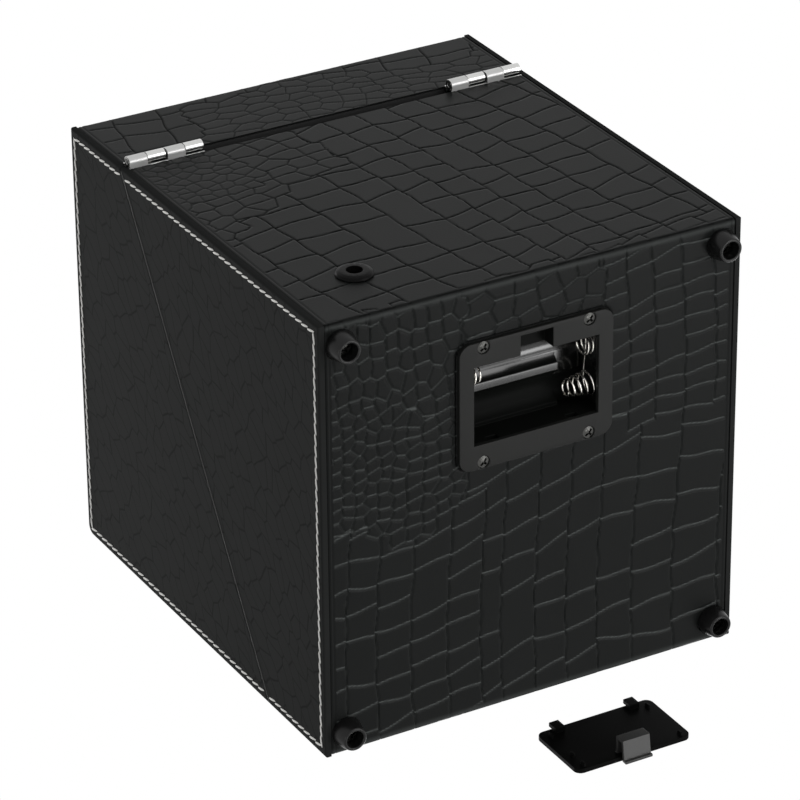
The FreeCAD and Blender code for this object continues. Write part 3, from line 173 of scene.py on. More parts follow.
def round_scales(u, v, wide, tall, play, salt, chosen):
    """Small rounded scales: the same three answers, counting only the edges of chosen scales."""
    same = 1e-6
    nearest = np.full(u.shape, 1e9)
    own_u, own_v = np.zeros(u.shape), np.zeros(u.shape)
    for mid_u, mid_v in scale_middles(u, v, wide, tall, play, salt):
        far = ((u - mid_u) / wide) ** 2 + ((v - mid_v) / tall) ** 2
        closer = far < nearest
        nearest = np.where(closer, far, nearest)
        own_u, own_v = np.where(closer, mid_u, own_u), np.where(closer, mid_v, own_v)
    own = chosen(own_u, own_v)
    edge, sideways = np.full(u.shape, far_off), np.zeros(u.shape)
    for mid_u, mid_v in scale_middles(u, v, wide, tall, play, salt):
        apart = np.hypot((mid_u - own_u) / wide ** 2, (mid_v - own_v) / tall ** 2)
        far = ((u - mid_u) / wide) ** 2 + ((v - mid_v) / tall) ** 2
        counts = (apart > same) & (own | chosen(mid_u, mid_v))
        here = np.where(counts, (far - nearest) / (2 * np.maximum(apart, same)), far_off)
        turn = np.abs(mid_u - own_u) / np.maximum(np.hypot(mid_u - own_u, mid_v - own_v), same)
        sideways = np.where(here < edge, turn, sideways)
        edge = np.minimum(edge, here)
    return edge, sideways, own


def any_scale(u, _):
    """Chooses every scale."""
    return np.ones(u.shape, bool)


class Strip:
    """The way a leather strip runs: s along it from the middle of its flat face, in millimetres."""

    def __init__(self, half, level, facing, front_round, back_round):
        self.half, self.level, self.facing = half, level, facing
        self.rounds = (front_round, back_round)

    def corner(self, back):
        """Length of the flat face on one side of the middle, and of the bend after it."""
        return self.half - self.rounds[back], self.rounds[back] * math.pi / 2

    def reach(self, z, back):
        """The s of a height on the front or back face."""
        flat, bend = self.corner(back)
        s = flat + bend + abs(z - self.level) - self.rounds[back]
        return s if back else -s

    def middle_of_corner(self, back):
        """The s halfway round a bend, where one sheet ends and the next starts."""
        flat, bend = self.corner(back)
        return (flat + bend / 2) * (1 if back else -1)

    def place(self, s):
        """Points y, z and outward directions at s."""
        y, z, ny, nz = (np.zeros(s.shape) for _ in range(4))
        for back in (0, 1):
            sign = 1 if back else -1
            here = s >= 0 if back else s < 0
            along = np.abs(s)
            radius = self.rounds[back]
            flat, bend = self.corner(back)
            angle = np.clip((along - flat) / radius, 0, math.pi / 2)
            up = np.maximum(along - flat - bend, 0)
            lift = radius * (1 - np.cos(angle)) + up
            y = np.where(here, sign * (np.minimum(along, flat) + radius * np.sin(angle)), y)
            z = np.where(here, self.level - self.facing * lift, z)
            ny = np.where(here, sign * np.sin(angle), ny)
            nz = np.where(here, self.facing * np.cos(angle), nz)
        return y, z, ny, nz


net_step, groove_half, rim_turn = 0.95, 0.46, 0.45


def pressed(x, s, strip, half_width, pattern):
    """How deep each point of a flat sheet is pressed, and how much painted shade and painted highlight it
    gets: scales, the rolled border with the fold line beside it, and the creases at the bends."""
    skin, groove_depth, shade_half, highlight_power = 0.05, 0.52, 0.42, 1.6
    upright_ease, beside_at, beside_half, beside_highlight = 0.35, 0.75, 0.5, 0.16
    roll_width, roll_depth, roll_shade = 1.0, 0.6, 0.6
    fold_in, fold_half, fold_depth, fold_shade = 1.9, 0.45, 0.16, 0.35
    plain_border, border_fade, bend_calm, least_press = 2.4, 0.6, 4, 0.35
    bend_highlight_at, bend_highlight_half, bend_highlight = -1.2, 0.9, 0.3
    crease_at, crease_half, crease_shade = 0.5, 0.6, 0.8
    gap, dark, press = pattern(x, s)
    border = np.abs(x) - half_width
    bends = [strip.middle_of_corner(back) for back in (0, 1)]
    off_bend = np.minimum(np.abs(s - bends[0]), np.abs(s - bends[1]))
    press = press * np.clip(off_bend / bend_calm, least_press, 1)
    press = press * np.clip((-plain_border - border) / border_fade, 0, 1)
    groove = np.clip(1 - gap / groove_half, 0, 1)
    lap = np.zeros(x.shape)
    for share, ahead in ((0.6, 0.3), (0.2, 0.55)):
        lap = np.maximum(lap, share * np.clip(1 - pattern(x, s + ahead)[0] / groove_half, 0, 1))
    rolled = np.clip((border + roll_width) / roll_width, 0, 1) ** 2
    fold = np.clip(1 - np.abs(border + fold_in) / fold_half, 0, 1)
    shallow = 1 - upright_ease * (np.abs(s) > strip.half)
    depth = skin + np.maximum(groove_depth * shallow * press * np.maximum(groove, lap),
                              np.maximum(roll_depth * rolled, fold_depth * fold))
    # Painted shade in the colour: the lines between the scales, the rolled border and the fold line beside
    # it, and further down the creases just past the bends.
    mark = np.maximum(press * dark * np.clip(1 - gap / shade_half, 0, 1),
                      np.maximum(roll_shade * rolled, fold_shade * fold))
    # Painted highlight in the colour: pale on the slopes where the scales lap, in a band beside the lines on
    # the upright faces, and in a band just before each bend.
    painted_highlight = press * np.maximum(groove, 0.7 * lap) ** highlight_power * (1 - dark) ** 2
    painted_highlight = painted_highlight * np.clip((off_bend - 1) / 3, 0, 1)
    upright = np.clip((np.abs(s) - strip.half - 3) / 3, 0, 1)
    beside = np.clip(1 - pattern(x, s + beside_at)[0] / beside_half, 0, 1) * np.clip(gap / beside_half, 0, 1)
    painted_highlight = np.maximum(painted_highlight, beside_highlight * press * upright * beside)
    past_bend = np.maximum(s - bends[1], bends[0] - s)
    painted_highlight = np.maximum(painted_highlight, bend_highlight * np.exp(-((past_bend - bend_highlight_at) / bend_highlight_half) ** 2))
    mark = np.maximum(mark, crease_shade * np.exp(-((past_bend - crease_at) / crease_half) ** 2))
    return depth, mark, painted_highlight


def leather_sheet(name, strip, start, stop, half_width, pattern, body, nodes=(), holes=()):
    """A stretch of an embossed strip from start to stop, its rim turned in over the board. The sheet is
    laid out flat, cut finer along the grooves, pressed and then bent to the strip."""
    fine_reach, lap_reach, fine_border = 0.7, 0.6, 4
    bm = bmesh.new()
    bmesh.ops.create_grid(bm, x_segments=round(2 * half_width / net_step),
                          y_segments=round((stop - start) / net_step), size=0.5)
    bmesh.ops.scale(bm, vec=(2 * half_width, stop - start, 1), verts=bm.verts)
    bmesh.ops.translate(bm, vec=(0, (start + stop) / 2, 0), verts=bm.verts)
    x, s = np.array([vert.co for vert in bm.verts])[:, :2].T
    near = np.minimum(pattern(x, s)[0], pattern(x, s + lap_reach)[0]) < fine_reach
    near = near | (np.abs(x) > half_width - fine_border)
    bm.verts.index_update()
    fine = [edge for edge in bm.edges if near[edge.verts[0].index] or near[edge.verts[1].index]]
    bmesh.ops.subdivide_edges(bm, edges=fine, cuts=1, use_grid_fill=True)
    x, s = np.array([vert.co for vert in bm.verts])[:, :2].T
    depth, mark, painted_highlight = pressed(x, s, strip, half_width, pattern)
    y, z, ny, nz = strip.place(s)
    # The painted shade goes into the groove attribute and the painted highlight into a second attribute; the
    # material darkens and lightens the colour by them.
    tone, highlight_layer = bm.verts.layers.float.new("groove"), bm.verts.layers.float.new("painted_highlight")
    spots = np.column_stack((x, y - ny * depth, z - nz * depth))
    for vert, at, shade_value, highlight_value in zip(bm.verts, spots, mark, painted_highlight):
        vert.co = Vector(at) * MM
        vert[tone], vert[highlight_layer] = shade_value, highlight_value
    cut = [face for face in bm.faces if any(hole(face.calc_center_median() / MM) for hole in holes)]
    bmesh.ops.delete(bm, geom=cut, context="FACES")
    flat_way = Vector((0, *[float(way[0]) for way in strip.place(np.array([(start + stop) / 2]))[2:]]))
    bm.normal_update()
    if sum(face.normal.dot(flat_way) for face in list(bm.faces)[::97]) < 0:
        bmesh.ops.reverse_faces(bm, faces=bm.faces)
    bm.normal_update()
    rim_edges = [edge for edge in bm.edges if edge.is_boundary]
    inward = {vert.co.to_tuple(7): vert.normal.copy() for edge in rim_edges for vert in edge.verts}
    turned_in = bmesh.ops.extrude_edge_only(bm, edges=rim_edges)["geom"]
    for vert in (item for item in turned_in if isinstance(item, bmesh.types.BMVert)):
        vert.co -= inward[vert.co.to_tuple(7)] * rim_turn * MM
    return settle(bm, name, croc_leather, body, "croc_leather", *nodes)


def leather(name, colour, roughness):
    """Black dressed leather: fine grain everywhere, dull down in the grooves with painted shade there, and a
    painted highlight where the edges of the scales lap."""
    highlight_share, shade_share, groove_roughness = 12.0, 0.2, 0.9
    material = surface(name, colour, roughness, 1500, 0.03 * MM, mottle=0.12, shine=0.055)
    nodes, links = material.node_tree.nodes, material.node_tree.links
    shader = nodes["Principled BSDF"]
    tone = shader.inputs["Base Color"].links[0].from_socket
    # Painted highlight and painted shade: the two attributes lighten and darken the colour.
    for layer, share in (("painted_highlight", highlight_share), ("groove", shade_share)):
        mark, shade = nodes.new("ShaderNodeAttribute"), nodes.new("ShaderNodeMix")
        mark.attribute_name = layer
        shade.data_type = "RGBA"
        links.new(mark.outputs["Fac"], shade.inputs["Factor"])
        links.new(tone, shade.inputs["A"])
        shade.inputs["B"].default_value = (*[c * share for c in colour], 1)
        tone = shade.outputs["Result"]
    links.new(tone, shader.inputs["Base Color"])
    dull = nodes.new("ShaderNodeMix")
    links.new(mark.outputs["Fac"], dull.inputs["Factor"])
    links.new(shader.inputs["Roughness"].links[0].from_socket, dull.inputs["A"])
    dull.inputs["B"].default_value = groove_roughness
    links.new(dull.outputs["Result"], shader.inputs["Roughness"])
    return material


croc_leather = leather("croc_leather", (0.0094, 0.0102, 0.0099), 0.37)

wrap_low, wrap_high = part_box("base_wrap")
lid_low, lid_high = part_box("lid_wrap")
half_width = wrap_high.x / MM
half_depth = -wrap_low.y / MM
tight_bend, lid_front_bend = 1.5, 4.0
base_strip = Strip(half_depth, wrap_low.z / MM, -1, tight_bend, tight_bend)
lid_strip = Strip(half_depth, lid_high.z / MM, 1, lid_front_bend, tight_bend)
split_front, split_back, hinge_seat = 44.6, 157.2, 2.7
split_slope = (split_back - split_front) / (2 * half_depth)
panel_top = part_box("base_side_panel_right")[1].z / MM
base_front_rim, lid_front_rim = panel_top - 2 * split_slope * half_depth, lid_low.z / MM
split_mid = (base_front_rim + lid_front_rim) / 2 + split_slope * half_depth
base_back_rim = wrap_high.z / MM
lid_back_rim = split_mid + split_slope * half_depth + hinge_seat
tray_low, tray_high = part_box("battery_tray")
tray_mid = (tray_low + tray_high) / 2 / MM
flange_x, flange_y = (tray_high - tray_low).x / 2 / MM, (tray_high - tray_low).y / 2 / MM
flange_round = 5.0


def waver(x, s):
    """Bends the rows and columns of scales, so that no two are alike."""
    back_lean, row_lean = 0.15, 0.12
    u = x - back_lean * np.clip(s - half_depth, 0, None)
    u = u + 4.0 * np.sin(x / 19 + 0.7) + 1.8 * np.sin(s / 27 + 0.4) + 0.3 * np.sin(s / 3.3 + x / 6)
    v = s + row_lean * x + 2.2 * np.sin(x / 23 + s / 60) + 0.35 * np.sin(x / 3.1 + s / 7)
    return u, v


def pressed_together(first, *others):
    """Several kinds of scales laid over one another, each with the depth that it is pressed to."""
    gap, dark, _ = first
    press = np.ones(gap.shape)
    for (edge, along, own), depth in others:
        dark = np.where(own | (edge < gap), along, dark)
        press = np.where(own, depth, press)
        gap = np.where(own, edge, np.minimum(gap, edge))
    return gap, dark, press


def base_pattern(x, s):
    """Belly scales in columns; smaller and rounder ones round the tray and by one hinge. A groove runs
    round the flange of the tray with painted shadow in it, and the painted shade in the lines is fainter on
    the underside than on the upright faces."""
    underside_shade_share, flange_gap = 0.55, 0.25
    u, v = waver(x, s)

    def by_tray(u, v):
        return (u < -31) & (v > 8 + 4 * np.sin(u / 9)) & (v < 86)

    def before_tray(u, v):
        return (u > 20) & (v < 10) & (v > -88)

    def over_tray(u, v):
        return (v > 63) & (v < 92) & (np.abs(u - 2) < 34)

    def long_ones(u, v):
        return (u > 33) & (v > 54 + 6 * np.sin(u / 9)) & (v < 96)

    def small_ones(u, v):
        return (u > 33 + 3 * np.sin(v / 6)) & (v > 9 + 7 * np.sin(u / 11)) & (v <= 54 + 6 * np.sin(u / 9))

    def tiny_ones(u, v):
        return (u > 26) & (v > 222 + 6 * np.sin(u / 8) - 0.3 * (u - 20))

    def by_hinge(u, v):
        return (u > 2 + 4 * np.sin(v / 14)) & (v > 204 + 4 * np.sin(u / 16) - 0.3 * u)

    gap, dark, press = pressed_together(
        column_scales(u, v, 16.5, 13.5, 1.7, any_scale),
        (column_scales(u, v, 11.0, 7.4, 3.3, by_tray), 0.85),
        (column_scales(u, v, 12.5, 10.5, 5.2, before_tray), 1.0),
        (round_scales(u, v, 11.0, 8.6, 0.45, 6.1, over_tray), 0.9),
        (round_scales(u, v, 9.5, 7.8, 0.5, 7.7, by_hinge), 0.7),
        (round_scales(u, v, 5.6, 5.4, 0.6, 2.9, tiny_ones), 0.5),
        (round_scales(u, v, 5.0, 7.6, 0.5, 8.3, long_ones), 0.9),
        (round_scales(u, v, 4.9, 5.2, 0.6, 9.1, small_ones), 0.95))
    past_x = np.abs(x) - flange_x + flange_round
    past_s = np.abs(s - tray_mid.y) - flange_y + flange_round
    off_flange = np.abs(np.hypot(np.maximum(past_x, 0), np.maximum(past_s, 0)) - flange_round - flange_gap)
    by_flange = off_flange < gap
    gap, press = np.minimum(gap, off_flange), np.where(by_flange, 1.0, press)
    # Painted shade share: full by the flange and on the upright faces; on the underside weaker, and more in
    # the lines along the columns than across them.
    return gap, np.maximum(np.where(by_flange, 1.0, underside_shade_share * dark), np.abs(s) > half_depth), press


def lid_pattern(x, s):
    """Broad belly scales on the front and top, flat oval ones across the middle of the back."""
    u, v = waver(x, s)

    def flat_ones(u, v):
        return (v > 96 + 3 * np.sin(u / 12)) & (u < 38 + 4 * np.sin(v / 15))

    gap, dark, press = pressed_together(column_scales(u, v, 17.0, 13.0, 4.2, any_scale),
                                        (round_scales(u, v, 10.5, 5.8, 0.5, 9.4, flat_ones), 0.65))
    # Painted shade share: full on the front and back faces, and on the top more in the lines along the
    # columns than across them.
    return gap, np.maximum(dark, np.abs(s) > half_depth), press


jack_low, jack_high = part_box("dc_jack_body")
jack_mid = (jack_low + jack_high) / 2 / MM
tray_hole_x, tray_hole_y, jack_hole = 29.5, 23, 5.6


def under_tray(at):
    return abs(at.x) < tray_hole_x and abs(at.y - tray_mid.y) < tray_hole_y


def under_jack(at):
    return math.hypot(at.x - jack_mid.x, at.z - jack_mid.z) < jack_hole


front_turn, back_turn = base_strip.middle_of_corner(0), base_strip.middle_of_corner(1)
leather_sheet("base_leather_under", base_strip, front_turn, back_turn, half_width, base_pattern, "base",
              ["base_wrap"], [under_tray])
leather_sheet("base_leather_front", base_strip, base_strip.reach(base_front_rim, 0), front_turn, half_width,
              base_pattern, "base")
leather_sheet("base_leather_back", base_strip, back_turn, base_strip.reach(base_back_rim, 1), half_width,
              base_pattern, "base", (), [under_jack])
front_turn, back_turn = lid_strip.middle_of_corner(0), lid_strip.middle_of_corner(1)
leather_sheet("lid_leather_top", lid_strip, front_turn, back_turn, half_width, lid_pattern, "lid",
              ["lid_wrap"])
leather_sheet("lid_leather_front", lid_strip, lid_strip.reach(lid_front_rim, 0), front_turn, half_width,
              lid_pattern, "lid")
leather_sheet("lid_leather_back", lid_strip, back_turn, lid_strip.reach(lid_back_rim, 1), half_width,
              lid_pattern, "lid")

# Side panels: thin boards in softer leather with a faint print, glued to the sides and sewn round their
# outer edge with white thread in long slanting stitches. The cut edge of the base along the split is
# finished with a bead of edge paint, paler than the leather as a painted highlight along the split.


def printed_leather(name, colour, roughness):
    """Soft leather with a faint print of long slanting scales, on its flat face only."""
    print_tilt, per_metre_along, per_metre_across = -0.75, 85, 165
    line_width, line_share, line_depth, wander = 0.07, 0.55, 0.06 * MM, 12 * MM
    material = surface(name, colour, roughness, 1700, 0.03 * MM, mottle=0.12, shine=0.012)
    nodes, links = material.node_tree.nodes, material.node_tree.links
    shader = nodes["Principled BSDF"]
    grain = shader.inputs["Normal"].links[0].from_node
    tone = shader.inputs["Base Color"].links[0].from_socket
    coords = next(node for node in nodes if node.type == "TEX_COORD")
    drift, shift = nodes.new("ShaderNodeTexNoise"), nodes.new("ShaderNodeVectorMath")
    drift.inputs["Scale"].default_value = 30
    links.new(coords.outputs["Object"], drift.inputs["Vector"])
    shift.operation = "MULTIPLY_ADD"
    links.new(drift.outputs["Color"], shift.inputs[0])
    shift.inputs[1].default_value = (0, wander, wander)
    links.new(coords.outputs["Object"], shift.inputs[2])
    turn, stretch = nodes.new("ShaderNodeMapping"), nodes.new("ShaderNodeMapping")
    turn.inputs["Rotation"].default_value = (print_tilt, 0, 0)
    stretch.inputs["Scale"].default_value = (1, per_metre_along, per_metre_across)
    links.new(shift.outputs["Vector"], turn.inputs["Vector"])
    links.new(turn.outputs["Vector"], stretch.inputs["Vector"])
    scales, line = nodes.new("ShaderNodeTexVoronoi"), nodes.new("ShaderNodeMapRange")
    scales.feature, scales.voronoi_dimensions = "DISTANCE_TO_EDGE", "2D"
    scales.inputs["Scale"].default_value = 1.0
    scales.inputs["Randomness"].default_value = 0.8
    parts, plane = nodes.new("ShaderNodeSeparateXYZ"), nodes.new("ShaderNodeCombineXYZ")
    links.new(stretch.outputs["Vector"], parts.inputs["Vector"])
    links.new(parts.outputs["Y"], plane.inputs["X"])
    links.new(parts.outputs["Z"], plane.inputs["Y"])
    links.new(plane.outputs["Vector"], scales.inputs["Vector"])
    line.interpolation_type = "SMOOTHSTEP"
    line.inputs["From Max"].default_value = line_width
    line.inputs["To Min"].default_value, line.inputs["To Max"].default_value = 1.0, 0.0
    links.new(scales.outputs["Distance"], line.inputs["Value"])
    facing, across = nodes.new("ShaderNodeNewGeometry"), nodes.new("ShaderNodeSeparateXYZ")
    flat = nodes.new("ShaderNodeMath")
    links.new(facing.outputs["True Normal"], across.inputs["Vector"])
    flat.operation = "POWER"
    flat.inputs[1].default_value = 40
    links.new(across.outputs["X"], flat.inputs[0])
    depth = nodes.new("ShaderNodeMath")
    depth.operation = "MULTIPLY"
    links.new(line.outputs["Result"], depth.inputs[0])
    links.new(flat.outputs["Value"], depth.inputs[1])
    press = nodes.new("ShaderNodeBump")
    press.invert = True
    press.inputs["Distance"].default_value = line_depth
    press.inputs["Strength"].default_value = 0.5
    links.new(depth.outputs["Value"], press.inputs["Height"])
    links.new(grain.outputs["Normal"], press.inputs["Normal"])
    links.new(press.outputs["Normal"], shader.inputs["Normal"])
    dark = nodes.new("ShaderNodeMix")
    dark.data_type = "RGBA"
    links.new(depth.outputs["Value"], dark.inputs["Factor"])
    links.new(tone, dark.inputs["A"])
    dark.inputs["B"].default_value = (*[c * line_share for c in colour], 1)
    links.new(dark.outputs["Result"], shader.inputs["Base Color"])
    return material


side_leather = printed_leather("side_leather", (0.0245, 0.0254, 0.025), 0.5)
side_leather.node_tree.nodes["Principled BSDF"].inputs["IOR"].default_value = 1.22
wear(side_leather, "base_side_panel_left", "base_side_panel_right", "lid_side_panel_left",
     "lid_side_panel_right")

thread = surface("white_thread", (0.84, 0.83, 0.80), 0.7, 2600, 0.06 * MM, mottle=0.1)
stitch_pitch, stitch_length, stitch_width, stitch_inset = 4.6, 5.3, 1.0, 3.3
stitch_slant, stitch_proud, rim_clear = 0.2, 0.34, 2.2
panel_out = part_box("base_side_panel_right")[1].x / MM


def stitch_row(name, side, route, body):
    """Slanting stitches along a route of y, z points on a side face."""
    bm = bmesh.new()
    face_x = side * panel_out
    for (y0, z0), (y1, z1) in zip(route, route[1:]):
        run = math.hypot(y1 - y0, z1 - z0)
        count = max(1, round(run / stitch_pitch))
        heading = math.atan2(z1 - z0, y1 - y0)
        for index in range(count):
            share = (index + 0.5) / count
            at = Vector((face_x, y0 + (y1 - y0) * share, z0 + (z1 - z0) * share)) * MM
            lie = Matrix.Rotation(heading + stitch_slant, 4, "X")
            shape = Matrix.Diagonal((stitch_proud * MM, stitch_length / 2 * MM, stitch_width / 2 * MM, 1))
            bmesh.ops.create_uvsphere(bm, u_segments=8, v_segments=6, radius=1,
                                      matrix=Matrix.Translation(at) @ lie @ shape)
    settle(bm, name, thread, body, "smooth_leather")


low_z, high_z = wrap_low.z / MM + stitch_inset, lid_high.z / MM - stitch_inset
out_y = half_depth - stitch_inset
for side, side_name in ((-1, "left"), (1, "right")):
    split_low, split_high = split_mid - split_slope * out_y, split_mid + split_slope * out_y
    base_route = [(-out_y, split_low - rim_clear), (-out_y, low_z), (out_y, low_z),
                  (out_y, split_high - rim_clear)]
    lid_route = [(-out_y, split_low + rim_clear), (-out_y, high_z), (out_y, high_z),
                 (out_y, split_high + rim_clear)]
    stitch_row(f"base_stitches_{side_name}", side, base_route, "base")
    stitch_row(f"lid_stitches_{side_name}", side, lid_route, "lid")


def merged(*meshes):
    """Several bmeshes as one."""
    whole = bmesh.new()
    for part in meshes:
        data = bpy.data.meshes.new("part")
        part.to_mesh(data)
        part.free()
        whole.from_mesh(data)
        bpy.data.meshes.remove(data)
    return whole


def edge_bead(side):
    """A thin round bead along the cut edge of one side of the base."""
    bm = bmesh.new()
    bmesh.ops.create_cone(bm, cap_ends=True, segments=10, radius1=bead * MM, radius2=bead * MM,
                          depth=2 * (half_depth - bead_short) * slant * MM)
    lean = Matrix.Rotation(math.atan(split_slope) - math.pi / 2, 4, "X")
    at = Vector((side * (panel_out - bead_in), 0, split_mid - bead_drop * slant))
    bmesh.ops.transform(bm, matrix=Matrix.Translation(at * MM) @ lean, verts=bm.verts)
    return bm


# Edge paint and painted highlight: the bead is much paler than the leather, standing in for the light caught
# along the split.
edge_paint_and_highlight = surface("edge_paint_and_highlight", (0.045, 0.046, 0.045), 0.5, 900, 0.01 * MM, shine=0.1)
bead, bead_drop, bead_in, bead_short = 0.42, 0.62, 0.22, 1
slant = math.hypot(1, split_slope)
settle(merged(edge_bead(-1), edge_bead(1)), "split_edge_beads", edge_paint_and_highlight, "base", "smooth_leather")

# Feet: four hollow cones moulded in black rubber. A blackened steel screw goes up through the floor of
# each one into the bottom board.


def turned(profile, centre, soften):
    """A ring turned from radius and height pairs about an upright axis, with its edges softened."""
    steps, crease = 48, 28
    bm = bmesh.new()
    verts = [bm.verts.new((radius * MM, 0, height * MM)) for radius, height in profile]
    edges = [bm.edges.new(pair) for pair in zip(verts, verts[1:])]
    edges.append(bm.edges.new((verts[-1], verts[0])))
    bmesh.ops.spin(bm, geom=verts + edges, cent=(0, 0, 0), axis=(0, 0, 1), angle=math.tau, steps=steps,
                   use_merge=True)
    bmesh.ops.remove_doubles(bm, verts=bm.verts, dist=1e-6)
    bmesh.ops.recalc_face_normals(bm, faces=bm.faces)
    sharp = [edge for edge in bm.edges if len(edge.link_faces) == 2
             and edge.calc_face_angle() > math.radians(crease)]
    bmesh.ops.bevel(bm, geom=sharp, offset=soften * MM, offset_type="OFFSET", segments=3, profile=0.5,
                    affect="EDGES", material=-1)
    bmesh.ops.translate(bm, vec=centre, verts=bm.verts)
    return bm


feet_low, feet_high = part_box("feet")
foot_height = (feet_high.z - feet_low.z) / MM
foot_wide, foot_tip, foot_bore, screw_bore, foot_floor = 6.3, 4.7, 3.5, 1.6, 1.6
foot_at = feet_high.x - foot_wide * MM
foot_profile = [(screw_bore, 0), (foot_wide, 0), (foot_tip, -foot_height), (foot_bore, -foot_height),
                (foot_bore, -foot_floor), (screw_bore, -foot_floor)]
rubber = surface("foot_rubber", (0.006, 0.006, 0.006), 0.28, 700, 0.02 * MM, shine=0.22)
corners = [(sx * foot_at, sy * foot_at) for sx in (-1, 1) for sy in (-1, 1)]
settle(merged(*[turned(foot_profile, Vector((x, y, feet_high.z)), 0.45) for x, y in corners]),
       "rubber_feet", rubber, "base", "rubber", "feet")


def cross_head(centre, radius, height):
    """A low screw head with a cross recess, facing down, with its flat side at the centre."""
    arm_share, slot_share, deep, crown, turn_by_place = 0.72, 0.19, 1.0, 0.35, 171
    bm = bmesh.new()
    rim = bmesh.ops.create_circle(bm, segments=32, radius=radius * MM)["verts"]
    rim_edges = list({edge for vert in rim for edge in vert.link_edges})
    arm, slot = radius * arm_share * MM, radius * slot_share * MM
    outline = [(arm, -slot), (arm, slot), (slot, slot), (slot, arm), (-slot, arm), (-slot, slot),
               (-arm, slot), (-arm, -slot), (-slot, -slot), (-slot, -arm), (slot, -arm), (slot, -slot)]
    points = [bm.verts.new((x, y, 0)) for x, y in outline]
    cut = [bm.edges.new((points[i], points[(i + 1) % 12])) for i in range(12)]
    bmesh.ops.triangle_fill(bm, edges=rim_edges + cut, use_beauty=True)
    for vert in bm.verts:
        vert.co.z = height * MM * (1 - crown * (vert.co.xy.length / (radius * MM)) ** 2)
    walls = bmesh.ops.extrude_edge_only(bm, edges=cut)["geom"]
    for vert in (item for item in walls if isinstance(item, bmesh.types.BMVert)):
        vert.co.z -= deep * MM
    bottom = [item for item in walls if isinstance(item, bmesh.types.BMEdge)]
    bmesh.ops.triangle_fill(bm, edges=bottom, use_beauty=True)
    skirt = bmesh.ops.extrude_edge_only(bm, edges=rim_edges)["geom"]
    for vert in (item for item in skirt if isinstance(item, bmesh.types.BMVert)):
        vert.co.z = 0
    bmesh.ops.recalc_face_normals(bm, faces=bm.faces)
    turned_over = Matrix.Rotation(math.pi, 3, "X")
    own_turn = Matrix.Rotation(centre.x * turn_by_place, 3, "Z")
    bmesh.ops.rotate(bm, cent=(0, 0, 0), matrix=turned_over, verts=bm.verts)
    bmesh.ops.rotate(bm, cent=(0, 0, 0), matrix=own_turn, verts=bm.verts)
    bmesh.ops.translate(bm, vec=centre, verts=bm.verts)
    return bm


blackened = surface("blackened_steel", (0.065, 0.065, 0.062), 0.32, 1200, 0.01 * MM, metallic=1.0)
foot_head_radius, foot_head_height = 2.8, 1.8
settle(merged(*[cross_head(Vector((x, y, feet_high.z - foot_floor * MM)), foot_head_radius, foot_head_height)
                for x, y in corners]),
       "foot_screw_heads", blackened, "base", "black_screw", "foot_screws")

# Battery tray: one moulding of satin plastic let into the underside. It has two round-bottomed troughs
# for the cells, and its flange is held by four blackened screws.

same_point, nearly_flat = 2e-6, 0.6


def softened(node, width, material, body, slot, name, angle=35, bend=0.0, bent=None):
    """A copy of a CAD node with its sharp edges slightly rounded, and chosen edges bent rounder."""
    bm = bmesh.new()
    bm.from_mesh(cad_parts[node].data)
    bmesh.ops.remove_doubles(bm, verts=bm.verts, dist=same_point)
    bmesh.ops.dissolve_limit(bm, angle_limit=math.radians(nearly_flat), verts=bm.verts, edges=bm.edges)
    if bent:
        bmesh.ops.bevel(bm, geom=[edge for edge in bm.edges if all(bent(vert.co) for vert in edge.verts)],
                        offset=bend * MM, offset_type="OFFSET", segments=5, profile=0.5, affect="EDGES",
                        material=-1)
    sharp = [edge for edge in bm.edges if len(edge.link_faces) == 2
             and edge.calc_face_angle() > math.radians(angle)]
    bmesh.ops.bevel(bm, geom=sharp, offset=width * MM, offset_type="OFFSET", segments=2, profile=0.5,
                    affect="EDGES", material=-1)
    bmesh.ops.triangulate(bm, faces=[face for face in bm.faces if len(face.verts) > 4])
    piece = settle(bm, name, material, body, slot, node)
    piece.modifiers.new("flat_faces", "WEIGHTED_NORMAL").keep_sharp = True
    return piece


tray_plastic = surface("tray_plastic", (0.0115, 0.0119, 0.0112), 0.40, 1300, 0.02 * MM, shine=0.12)
# Painted shade: the insides of the troughs wear darker copies of the same plastic, a glossy one in the back
# trough and a dull one in the front trough.
tray_gloss_painted_shade = surface("tray_gloss_painted_shade", (0.003, 0.0033, 0.003), 0.2, 900, 0.004 * MM, shine=0.6)
tray_dull_painted_shade = surface("tray_dull_painted_shade", (0.004, 0.0044, 0.004), 0.5, 900, 0.01 * MM, shine=0.04)
tray = softened("battery_tray", 0.3, tray_plastic, "base", "tray_plastic", "tray_moulding")
tray.data.materials.append(tray_gloss_painted_shade)
tray.data.materials.append(tray_dull_painted_shade)
flange_thick, glossy_trough = 0.3, 16.5
# Faces inside the troughs take the darker copies, as painted shade.
for face in tray.data.polygons:
    if face.center.z > wrap_low.z + flange_thick * MM:
        face.material_index = 1 if 0 < face.center.y - tray_mid.y * MM < glossy_trough * MM else 2
screw_low, screw_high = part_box("tray_screws")
head_radius, head_height = 2.4, 1.3
tray_corners = [(x, y) for x in (screw_low.x + head_radius * MM, screw_high.x - head_radius * MM)
                for y in (screw_low.y + head_radius * MM, screw_high.y - head_radius * MM)]
settle(merged(*[cross_head(Vector((x, y, screw_low.z + head_height * MM)), head_radius, head_height)
                for x, y in tray_corners]),
       "tray_screw_heads", blackened, "base", "black_screw", "tray_screws")

# Battery contacts: coils and a bridge of nickel-plated spring wire and a stamped plate, pushed into the
# ends of the troughs. The pin and the nut of the inlet are plated in the same way.

nickel = surface("nickel_plate", (0.78, 0.76, 0.71), 0.22, 1500, 0.004 * MM, metallic=1.0, mottle=0.06)
wear(nickel, "contact_spring", "contact_bridge", "contact_plate", "dc_jack_pin", "dc_jack_nut")

# DC inlet: a round socket moulded in glossy black plastic, with a flange outside. It is pushed through
# the back and held by a nut inside.

